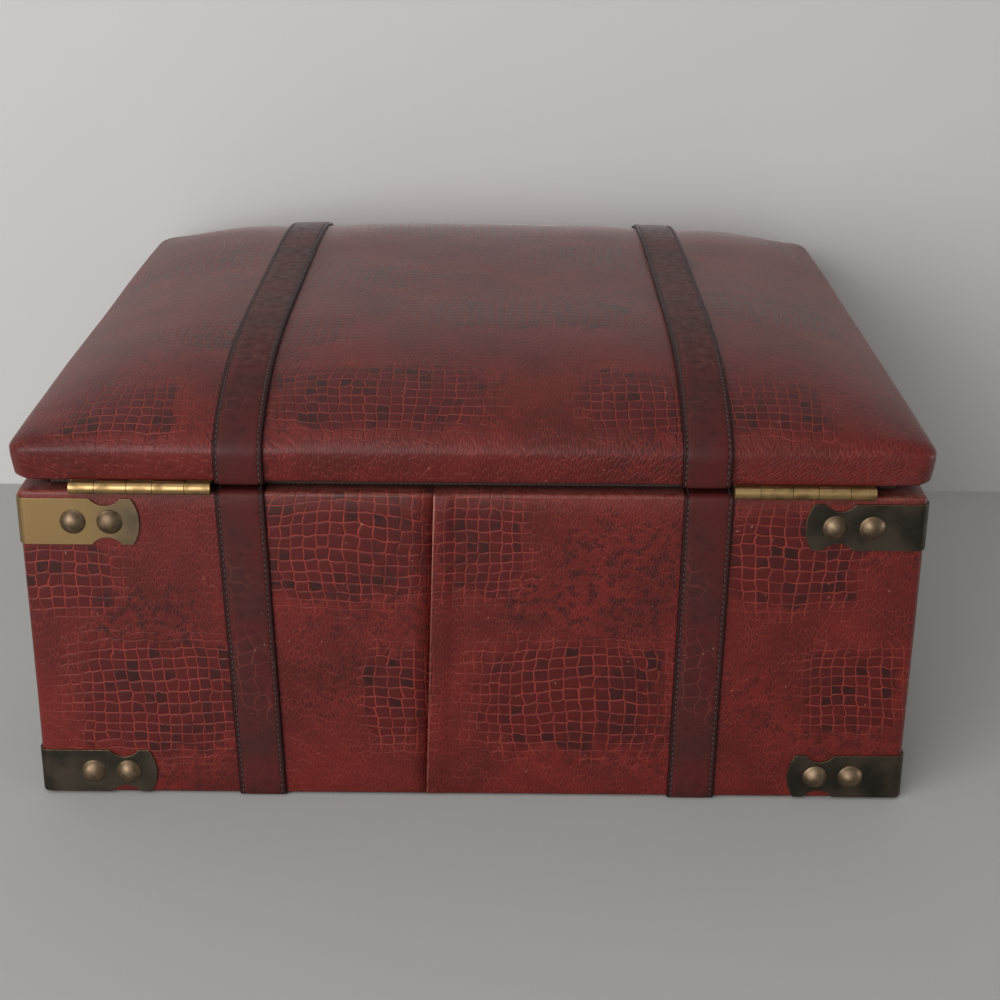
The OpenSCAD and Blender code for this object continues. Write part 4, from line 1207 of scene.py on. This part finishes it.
@dataclass(frozen=True)
class StrapLay:
    """A strap of stitched leather laid along the rows of its seat."""

    name: str
    body: str
    stands_for: str
    rows: list[StrapRow]
    half: float = 9 * MM
    stitch_in: float = 1.5 * MM
    stitch_pitch: float = 2.2 * MM
    stitch_height: float = 1.3 * MM
    stitch: Row = (0.95 * MM, 0.4 * MM, 0.34 * MM)
    stitch_slant: float = 0.16
    first_stitch: float = 2.5 * MM
    slot_rows: tuple[float, float] | None = None

    def section(self) -> list[Row]:
        """The strap's cross-section: share across, height in millimetres, share of edge colour, which is edge
        paint on the cut edge and underside, and painted shade in the stitch groove and on the strip outside
        it.
        """
        groove = 1 - self.stitch_in / self.half
        side = [
            # The edge colour darkens the stitch groove as painted shade, the strip outside it as part edge
            # paint and part painted shade, and the cut edge and underside as edge paint
            (0.14, 1.6, 0.0), (0.62, 1.57, 0.0), (0.74, 1.5, 0.0),
            (groove - 0.045, 1.4, 0.25), (groove, 1.2, 0.8), (groove + 0.045, 1.4, 0.6),
            (0.93, 1.46, 0.6), (0.975, 1.3, 1.0), (1.0, 1.0, 1.0), (1.0, 0.2, 1.0),
            (0.96, 0.0, 1.0), (0.14, 0.0, 0.2),
        ]
        return side + [(-w, h, e) for w, h, e in reversed(side)] + [side[0]]

    def normal(self, k: int, w: float) -> Vector:
        """Outward direction of row k at a distance across."""
        here = self.rows[k].seat
        steps = []
        if k > 0:
            steps.append((here(w) - self.rows[k - 1].seat(w)).normalized())
        if k < len(self.rows) - 1:
            steps.append((self.rows[k + 1].seat(w) - here(w)).normalized())
        ahead = sum(steps, Vector()).normalized()
        across = (here(w + MM) - here(w - MM)).normalized()
        way = ahead.cross(across).normalized()
        return way if way.dot(self.facing(k)) > 0 else -way

    def point(self, k: int, w: float, height: float) -> Vector:
        """The point of row k at a distance across and a height over the strap's underside."""
        row = self.rows[k]
        return row.seat(w) + self.normal(k, w) * (row.lift + height * row.thick)

    def facing(self, k: int) -> Vector:
        """Roughly outward at row k, to choose the normal's side."""
        raise NotImplementedError

    def build(self) -> bpy.types.Object:
        """Sweeps the section along the rows and sews both edges.

        Returns:
            The strap.
        """
        section = self.section()
        lengths = lengths_along([row.seat(0) for row in self.rows])
        around = lengths_along([(share * self.half, height * MM) for share, height, _ in section])

        def place(i: int, j: int) -> Vector:
            """The strap's point at a place round its section and a row."""
            share, height, _ = section[i]
            return self.point(j, share * self.half * self.rows[j].wide, height * MM)

        bm = flat_grid(around, lengths, place)
        # Each point's share of edge colour: edge paint, and painted shade in the stitch grooves and along the
        # sides
        painted = bm.verts.layers.float_color.new("edge")
        uv = bm.loops.layers.uv.verify()
        for face in bm.faces:
            for loop in face.loops:
                i = min(range(len(around)), key=lambda k: abs(around[k] - loop[uv].uv.x))
                share, height, edge = section[i]
                loop.vert[painted] = (edge, edge, edge, 1)
                # The underside's pattern is read from elsewhere on the hide
                loop[uv].uv.x = share * self.half + (0.05 if height < 0.5 else 0)
        if self.slot_rows:
            self.punch(bm)
        bmesh.ops.remove_doubles(bm, verts=bm.verts, dist=1e-7)
        bmesh.ops.holes_fill(bm, edges=[e for e in bm.edges if e.is_boundary], sides=0)
        bmesh.ops.recalc_face_normals(bm, faces=bm.faces)
        self.sew(bm, lengths)
        return put(bm, self.name, self.body, [LEATHER, THREAD], [self.stands_for], sharp=55)

    def punch(self, bm: Mesh) -> None:
        """Cuts the hole that the prong comes through."""
        low, high = self.slot_rows or (0.0, 0.0)
        middle = self.rows[-1].seat(0).x
        spots = {f: f.calc_center_median() for f in bm.faces}
        gone = [
            f for f, spot in spots.items()
            if low < spot.z < high and abs(spot.x - middle) < 0.13 * self.half and spot.y < -self.half
        ]
        bmesh.ops.delete(bm, geom=gone, context="FACES")
        hole = [
            e for e in bm.edges
            if e.is_boundary and all(abs(v.co.x - middle) < 0.16 * self.half for v in e.verts)
            and all(low - 2 * MM < v.co.z < high + 2 * MM for v in e.verts)
        ]
        bmesh.ops.bridge_loops(bm, edges=hole)

    def sew(self, bm: Mesh, lengths: list[float]) -> None:
        """Lays a stitch at each pitch in both grooves."""
        number = int((lengths[-1] - 2 * self.first_stitch) / self.stitch_pitch)
        size = Matrix.Diagonal((*self.stitch, 1))
        for side in (-1, 1):
            for n in range(number + 1):
                length = self.first_stitch + n * self.stitch_pitch
                k = next(k for k in range(1, len(lengths)) if lengths[k] >= length)
                share = (length - lengths[k - 1]) / (lengths[k] - lengths[k - 1])
                wide = self.rows[k - 1].wide + (self.rows[k].wide - self.rows[k - 1].wide) * share
                w = side * (self.half * wide - self.stitch_in)
                before, after = (self.point(row, w, self.stitch_height) for row in (k - 1, k))
                out = self.normal(k, w)
                along = (after - before).normalized()
                across = along.cross(out).normalized()
                along = (along + across * self.stitch_slant * side).normalized()
                across = along.cross(out).normalized()
                place = Matrix.Translation(before.lerp(after, share))
                turn = Matrix((along, across, out)).transposed().to_4x4()
                made = bmesh.ops.create_icosphere(bm, subdivisions=1, radius=1, matrix=place @ turn @ size)
                for face in {f for vert in made["verts"] for f in vert.link_faces}:
                    face.material_index = 1


class Side(Enum):
    """The two straps, seen from the front."""

    LEFT = -1
    RIGHT = 1

    @property
    def word(self) -> str:
        """The side's word in the names of pieces."""
        return self.name.lower()


@dataclass(frozen=True)
class Straps:
    """Both straps: over the lid, down the back and front of the base, and the tongues over the front."""

    across: float = 84 * MM
    gap: float = 0.3 * MM
    edge: float = 1.4 * MM
    foot: float = 0.6 * MM
    rim: float = 125.2 * MM
    half_y: float = 155 * MM
    rim_lap: float = 8 * MM
    foot_lap: float = 13 * MM
    split_y: float = 100 * MM
    lid_step: float = 5 * MM
    under_lid: tuple[float, float] = (5 * MM, 9 * MM)
    # Shares of full thickness: the pared end under the lid, on the base's rim and under its foot
    pared_end: tuple[float, ...] = (0.55, 0.55, 0.6, 0.75, 0.9)
    rim_share: float = 0.53
    foot_share: float = 0.36
    wall_rows: int = 24
    # How far the tongue stands off the front, in millimetres: above the buckle, over its heel bar, at the tip
    tongue_out: Row = (3.05, 7.5, 5.05)
    tongue_lift: float = -0.75 * MM
    tip_shape: tuple[tuple[float, float], ...] = (
        (72.5, 1.0), (70.5, 0.8), (68.5, 0.58), (66.5, 0.36), (65, 0.2), (64, 0.1), (63.6, 0.04),
    )
    prong_slot: tuple[float, float] = (101 * MM, 109 * MM)
    # How far each strap on the back was laid off the upright, at the rim and at the foot
    back_lean: tuple[tuple[float, float], tuple[float, float]] = ((-1.5 * MM, 0.0), (0.3 * MM, -3.6 * MM))

    def lid_rows(self, x: float, first: float, last: float) -> list[Place]:
        """Rows across the lid's surface from depth first to depth last, on its even top."""
        count = max(1, round(abs(last - first) / self.lid_step))
        top = LID.widest + LID.roll_height
        rows = [(LID.half_y - first - (last - first) * k / count, top, 1.0) for k in range(count + 1)]
        return self.edge_rows(x, 1, rows)

    @staticmethod
    def edge_rows(x: float, face: int, rows: Sequence[Row]) -> list[Place]:
        """Rows of the lid's section on one side: distance in, height, share of crown."""

        def row(inset: float, height: float, share: float) -> Place:
            """The seat over one row of the section."""
            y = face * (LID.half_y - inset)
            return lambda w: Vector((x + w, y, height + share * LID.crown(x + w, y)))

        return [row(*r) for r in rows]

    def over_lid(self, side: Side) -> None:
        """The strap over the lid, from its end under the back edge to where the front piece goes on."""
        x = side.value * self.across
        back = LID.section()[:-3] + [(inset, LID.bottom, 0.0) for inset in self.under_lid]
        seats = self.edge_rows(x, 1, back[::-1])
        seats += self.lid_rows(x, LID.inner_y, -self.split_y)[1:]
        thick = self.pared_end + (1.0,) * (len(seats) - len(self.pared_end))
        rows = [StrapRow(seat, self.gap, share) for seat, share in zip(seats, thick)]
        LidStrap(f"strap_over_lid_{side.word}", "lid", f"lid_strap_{side.word}", rows).build()

    def front_end(self, side: Side) -> None:
        """The strap's front end: over the front shoulder and down through its buckle as the tongue."""
        x = side.value * self.across
        seats = self.lid_rows(x, -self.split_y, -LID.inner_y)
        seats += self.edge_rows(x, -1, LID.section()[1 : LID.roll_rows])
        rows = [StrapRow(seat, self.gap) for seat in seats]

        def fall(proud: float, z: float) -> Place:
            """The seat in front of the base, at a distance out and a height in millimetres."""
            return lambda w: Vector((x + w, -self.half_y - proud * MM, z * MM))

        # Down the front, out to the heel bar, past it, and in again to the tip: distance out, height
        front, heel, tip = self.tongue_out
        path = [(front, z) for z in (140.6, 136, 131, 126, 121, 117)]
        path += [(front + (heel - front) * ease(k / 12), 113.5 - 12 * k / 12) for k in range(13)]
        path += [(heel, 99), (heel, 97.6)]
        path += [(heel - (heel - tip) * ease(k / 8), 96.3 - 7.8 * k / 8) for k in range(9)]
        path += [(tip, 84), (tip, 79), (tip, 75)]
        rows += [StrapRow(fall(*spot), self.tongue_lift) for spot in path]
        rows += [StrapRow(fall(tip, z), self.tongue_lift, wide=share) for z, share in self.tip_shape]
        tongue = f"tongue_{side.word}"
        piece = FrontEnd(f"strap_front_end_{side.word}", "", tongue, rows, slot_rows=self.prong_slot).build()
        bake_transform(piece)

    def down_base(self, side: Side, face: int) -> None:
        """The strap down one face of the base, from its end on the rim to its end under the foot."""
        x = side.value * self.across
        rim_lean, foot_lean = self.back_lean[list(Side).index(side)] if face > 0 else (0.0, 0.0)

        def row(proud: float, z: float, thick: float) -> StrapRow:
            """A row at a distance out and a height, leaning as the strap was laid."""
            lean = foot_lean + (rim_lean - foot_lean) * z / self.rim
            return StrapRow(lambda w: Vector((x + lean + w, face * (self.half_y + proud), z)), thick=thick)

        bend, top, low = self.edge, self.rim - self.edge, self.foot + self.edge
        on_rim, under_foot, count = self.rim_share, self.foot_share, self.wall_rows
        quarter = math.pi / 2
        rows = [
            row(-self.rim_lap, self.rim, on_rim),
            row(-self.rim_lap / 2, self.rim, on_rim),
            *(
                row(bend * (math.cos(a) - 1), top + bend * math.sin(a), 1 - (1 - on_rim) * a / quarter)
                for a in BEND[::-1]
            ),
            *(row(0.0, top + (low - top) * k / count, 1.0) for k in range(1, count)),
            *(
                row(bend * (math.cos(a) - 1), low - bend * math.sin(a), 1 - (1 - under_foot) * a / quarter)
                for a in BEND
            ),
            row(-self.foot_lap / 2, self.foot, under_foot),
            row(-self.foot_lap, self.foot, under_foot),
        ]
        word = "back" if face > 0 else "front"
        end = f"{word}_strap_{side.word}"
        BaseStrap(f"strap_down_{word}_{side.word}", "base", end, rows, face=face).build()

    def build(self) -> None:
        """Lays both straps, piece by piece."""
        for side in Side:
            self.over_lid(side)
            self.front_end(side)
            self.down_base(side, 1)
            self.down_base(side, -1)


class LidStrap(StrapLay):
    """A strap on the lid, whose outward side turns from below the back edge round to the top."""

    def facing(self, k: int) -> Vector:
        """Out from a point inside the lid."""
        here = self.rows[k].seat(0)
        return here - Vector((here.x, max(min(here.y, 0.14), -0.14), 0.1375))


class FrontEnd(StrapLay):
    """A strap's front end, which faces up on the lid and forward below it."""

    def facing(self, k: int) -> Vector:
        """Up on the lid and forward below it."""
        return Vector((0, -1, 1)) if self.rows[k].lift > 0 else Vector((0, -1, 0.01))


@dataclass(frozen=True)
class BaseStrap(StrapLay):
    """A strap on the base, which faces up on the rim, out on the wall and down below the foot."""

    face: int = 1

    def facing(self, k: int) -> Vector:
        """Out from a point inside the wall."""
        return Vector((0, self.face * 21 * MM, self.rows[k].seat(0).z - 60 * MM))


# Fittings


@dataclass(frozen=True)
class CornerBrackets:
    """Stamped brackets on all eight corners and their domed nails."""

    edge: float = 0.22 * MM
    radius: float = 4.75 * MM
    dome: float = 2.8 * MM
    plate: float = 0.8 * MM
    shank_radius: float = 0.8 * MM
    shank: float = 7 * MM
    tip: float = 1.6 * MM
    dent: float = 0.14 * MM
    tilt: float = 0.05
    spots_in: tuple[float, float] = (19.8 * MM, 33.2 * MM)
    half_x: float = 165 * MM
    half_y: float = 155 * MM
    heights: tuple[float, float] = (10.2 * MM, 113.7 * MM)

    def brackets(self) -> None:
        """Dresses each bracket by how dark it has gone."""
        for corner in product(("back", "front"), ("left", "right"), ("top", "bottom")):
            word = "_".join(corner)
            finish = BRACKET_BARE if word == "back_right_top" else BRACKET_DARK
            softened_copy(f"bracket_{word}", f"corner_{word}", finish, self.edge)

    def nail(self, bm: Mesh, place: Matrix, seed: float) -> None:
        """Turns one nail from its half section and sets it in its place.

        Args:
            bm: the mesh that takes it.
            place: its place, with +Z out of the wall.
            seed: sets the small differences between the heads.
        """
        ball = (self.radius**2 + self.dome**2) / (2 * self.dome)
        half_angle = math.asin(self.radius / ball)
        top, point = self.plate + self.dome, self.plate - self.shank
        arc = [half_angle * k / 6.4 for k in range(1, 7)]
        profile = [
            (0.0, top),
            *((ball * math.sin(a), top - ball * (1 - math.cos(a))) for a in arc),
            (self.radius - 0.05 * MM, self.plate + 0.22 * MM),
            (self.radius, self.plate + 0.08 * MM),
            (self.radius - 0.12 * MM, self.plate),
            (self.shank_radius, self.plate),
            (self.shank_radius, point + self.tip),
            (0.0, point),
        ]
        own = turned(profile, 20)
        for vert in own.verts:
            if vert.co.z > self.plate + 0.3 * MM:
                vert.co.z += noise.noise(vert.co * 420 + Vector((seed, 0, 0))) * self.dent
        join(own, bm, place)

    def nails(self) -> None:
        """Sets all the nails."""
        bm = bmesh.new()
        seed = 0.0
        up = Vector((0, 0, 1))
        for z, side, inset in product(self.heights, (-1, 1), self.spots_in):
            spots = (
                ((side * (self.half_x - inset), self.half_y, z), (0, 1, 0)),
                ((side * (self.half_x - inset), -self.half_y, z), (0, -1, 0)),
                ((self.half_x, side * (self.half_y - inset), z), (1, 0, 0)),
                ((-self.half_x, side * (self.half_y - inset), z), (-1, 0, 0)),
            )
            for spot, out in spots:
                seed += 7.3
                tilt_x = Matrix.Rotation(self.tilt * math.sin(seed), 4, "X")
                tilt_y = Matrix.Rotation(self.tilt * math.cos(seed), 4, "Y")
                turn = up.rotation_difference(Vector(out)).to_matrix().to_4x4()
                self.nail(bm, Matrix.Translation(spot) @ turn @ tilt_x @ tilt_y, seed)
        bmesh.ops.recalc_face_normals(bm, faces=bm.faces)
        put(bm, "domed_nails", "base", [NAIL_BRASS], ["corner_nails"], sharp=70)

    def build(self) -> None:
        """Dresses the brackets and sets the nails."""
        self.brackets()
        self.nails()


@dataclass(frozen=True)
class Hinges:
    """The butt hinges' leaves and pins, and their slotted screws."""

    edge: float = 0.18 * MM
    head: float = 2.1 * MM
    shank: float = 1.1 * MM
    length: float = 8 * MM
    tip: float = 2 * MM
    leaf: float = 1.2 * MM
    slot_width: float = 0.6 * MM
    slot_deep: float = 0.5 * MM
    x: float = 119.6 * MM
    pitch: float = 17 * MM
    y: float = 150 * MM
    axis: float = 127.6 * MM
    barrel: float = 2.4 * MM

    def screw(self, bm: Mesh, place: Matrix) -> None:
        """Turns a countersunk screw and cuts its slot.

        Args:
            bm: the mesh that takes it.
            place: its place, with the head's face at 0 and the shank downwards.
        """
        profile = [
            (0.0, 0.0), (self.head - 0.1 * MM, 0.0), (self.head, -0.1 * MM), (self.shank, -self.leaf),
            (self.shank, self.tip - self.length), (0.0, -self.length),
        ]
        own = turned(profile, 20)
        level = 0.02 * MM
        for side in (-1, 1):
            faces = [f for f in own.faces if f.calc_center_median().z > -level]
            geom = {*faces, *(e for f in faces for e in f.edges), *(v for f in faces for v in f.verts)}
            line = (0, side * self.slot_width / 2, 0)
            bmesh.ops.bisect_plane(own, geom=list(geom), plane_co=line, plane_no=(0, 1, 0), dist=1e-6)
        slot = [
            f for f in own.faces
            if f.calc_center_median().z > -level and abs(f.calc_center_median().y) < self.slot_width / 2
            and max(v.co.z for v in f.verts) - min(v.co.z for v in f.verts) < level
        ]
        cut = bmesh.ops.extrude_face_region(own, geom=slot)
        low = [v for v in cut["geom"] if isinstance(v, bmesh.types.BMVert)]
        bmesh.ops.translate(own, vec=(0, 0, -self.slot_deep), verts=low)
        bmesh.ops.delete(own, geom=slot, context="FACES_ONLY")
        join(own, bm, place)

    def build(self) -> None:
        """Dresses the leaves and pins and drives the screws."""
        for side in Side:
            for leaf in ("base", "lid"):
                node = f"hinge_{leaf}_leaf_{side.word}"
                softened_copy(node, f"leaf_{leaf}_{side.word}", HINGE_BRASS, self.edge)
            dress(f"hinge_pin_{side.word}", HINGE_BRASS)
        for body, flip in (("base", 1), ("lid", -1)):
            bm = bmesh.new()
            seat = self.axis - flip * (self.barrel - self.leaf)
            turn = Matrix.Rotation(0 if flip > 0 else math.pi, 4, "X")
            for side, k in product((-1, 1), (-1, 0, 1)):
                # Each slot stands at its own angle, as a screwdriver leaves it
                spin = Matrix.Rotation(0.6 + 1.7 * k + side, 4, "Z")
                spot = Matrix.Translation((side * self.x + k * self.pitch, self.y, seat))
                self.screw(bm, spot @ turn @ spin)
            bmesh.ops.recalc_face_normals(bm, faces=bm.faces)
            name, node = f"slotted_screws_{body}", f"hinge_{body}_screws"
            put(bm, name, body, [HINGE_BRASS], [node], sharp=30)


@dataclass(frozen=True)
class Buckles:
    """Buckle frames, prongs, tabs, keepers and hidden magnets on the two tongues."""

    edge: float = 0.25 * MM
    magnet_edge: float = 0.15 * MM

    def build(self) -> None:
        """Dresses each piece."""
        for word in (side.word for side in Side):
            softened_copy(f"buckle_tab_{word}", f"tab_{word}", LEATHER, self.edge)
            softened_copy(f"strap_keeper_{word}", f"keeper_{word}", LEATHER, self.edge)
            softened_copy(f"magnet_{word}", f"disc_magnet_{word}", STEEL, self.magnet_edge)
            dress(f"buckle_frame_{word}", BUCKLE_BRASS)
            dress(f"buckle_prong_{word}", BUCKLE_BRASS)


@dataclass(frozen=True)
class Carcass:
    """Boards, lining and felt."""

    cloth_edge: float = 0.45 * MM
    panel_edge: float = 0.3 * MM
    felt_edge: float = 0.2 * MM

    def build(self) -> None:
        """Dresses the boards and wraps the lining's edges."""
        for word in ("front", "back", "left", "right"):
            dress(f"{word}_panel", FIBREBOARD)
            softened_copy(f"lining_{word}", f"lined_wall_{word}", CLOTH, self.cloth_edge, 3)
        dress("floor_panel", FIBREBOARD)
        dress("lid_board", FIBREBOARD)
        for side in Side:
            dress(f"strike_plate_{side.word}", STEEL)
        floor = softened_copy("floor_pad", "lined_floor_pad", CLOTH, self.cloth_edge, 3)
        softened_copy("lid_lining", "lined_lid_panel", CLOTH, self.panel_edge, 3)
        softened_copy("base_felt", "felt_foot", FELT, self.felt_edge)


# Room, light and camera


@dataclass(frozen=True)
class Lamp:
    """A soft rectangular lamp, in metres, watts and degrees."""

    name: str
    place: Row
    aim: Row
    wide: float
    high: float
    power: float
    spread: float = 180


@dataclass(frozen=True)
class Studio:
    """A pale painted surface and wall, soft light from the left of the view, and the photograph's camera."""

    wall_y: float = -0.174
    reach: float = 4.0
    lamps: tuple[Lamp, ...] = (
        Lamp("window", (0.85, 1.5, 0.65), (0, 0, 0.08), 1.7, 1.3, 34),
        Lamp("ceiling", (0.3, 0.6, 1.9), (0, 0, 0.1), 1.4, 1.4, 5),
        # Two narrow lamps give the front and the far side their share of light and miss the photographed view
        Lamp("front_fill", (0, -0.75, 0.085), (0, 0, 0.085), 0.42, 0.22, 0.26, 30),
        Lamp("side_fill", (-0.9, 0, 0.085), (0, 0, 0.085), 0.42, 0.22, 0.16, 30),
    )
    sky: str = "#e6e6e4"
    sky_strength: float = 0.42
    # The camera's place in metres, its turns in degrees, its lens and sensor in millimetres
    place: Row = (-0.0099, 0.7566, 0.362)
    down: float = 21.65
    roll: float = 0.47
    lens: float = 64.476
    sensor: float = 36

    def surface(self, name: str, place: Matrix, paint: MattPaint) -> None:
        """A flat square of the room, turned and moved by a matrix."""
        bm = bmesh.new()
        bmesh.ops.create_grid(bm, x_segments=1, y_segments=1, size=self.reach, matrix=place)
        mesh = bpy.data.meshes.new(name)
        bm.to_mesh(mesh)
        bm.free()
        mesh.materials.append(paint.material())
        made = bpy.data.objects.new(name, mesh)
        bpy.context.scene.collection.objects.link(made)

    def lamp(self, lamp: Lamp) -> None:
        """Hangs a soft lamp that faces its aim."""
        light = bpy.data.lights.new(lamp.name, "AREA")
        light.shape = "RECTANGLE"
        light.size = lamp.wide
        light.size_y = lamp.high
        light.energy = lamp.power
        light.spread = math.radians(lamp.spread)
        made = bpy.data.objects.new(lamp.name, light)
        made.location = lamp.place
        made.rotation_euler = (Vector(lamp.aim) - Vector(lamp.place)).to_track_quat("-Z", "Y").to_euler()
        bpy.context.scene.collection.objects.link(made)

    def build(self) -> None:
        """Builds the room, hangs the lamps and sets the camera."""
        self.surface("floor", Matrix.Identity(4), TABLE_PAINT)
        upright = Matrix.Rotation(-math.pi / 2, 4, "X")
        self.surface("wall", Matrix.Translation((0, self.wall_y, self.reach)) @ upright, WALL_PAINT)
        scene = bpy.context.scene
        scene.world = bpy.data.worlds.new("room")
        scene.world.use_nodes = True
        tree = scene.world.node_tree
        tree.nodes.clear()
        add_node(tree, Node.WORLD_OUTPUT, add_node(tree, Node.SKY, self.sky, self.sky_strength))
        for lamp in self.lamps:
            self.lamp(lamp)
        lens = bpy.data.cameras.new("camera")
        lens.lens = self.lens
        lens.sensor_width = self.sensor
        camera = bpy.data.objects.new("camera", lens)
        tip = Matrix.Rotation(math.radians(90 - self.down), 4, "X")
        roll = Matrix.Rotation(math.radians(self.roll), 4, "Z")
        camera.matrix_world = Matrix.Translation(self.place) @ Matrix.Rotation(math.pi, 4, "Z") @ tip @ roll
        scene.collection.objects.link(camera)
        scene.camera = camera
        scene.view_settings.view_transform = "Standard"


def main() -> None:
    """Builds every sub-assembly in order."""
    logging.basicConfig(level=logging.INFO, format="%(name)s: %(message)s")
    builders = (Studio(), Carcass(), BaseWrap(), PaddedLid(), Straps(), CornerBrackets(), Hinges(), Buckles())
    for builder in builders:
        builder.build()
        log.info("%s built", type(builder).__name__)


if __name__ == "__main__":
    main()
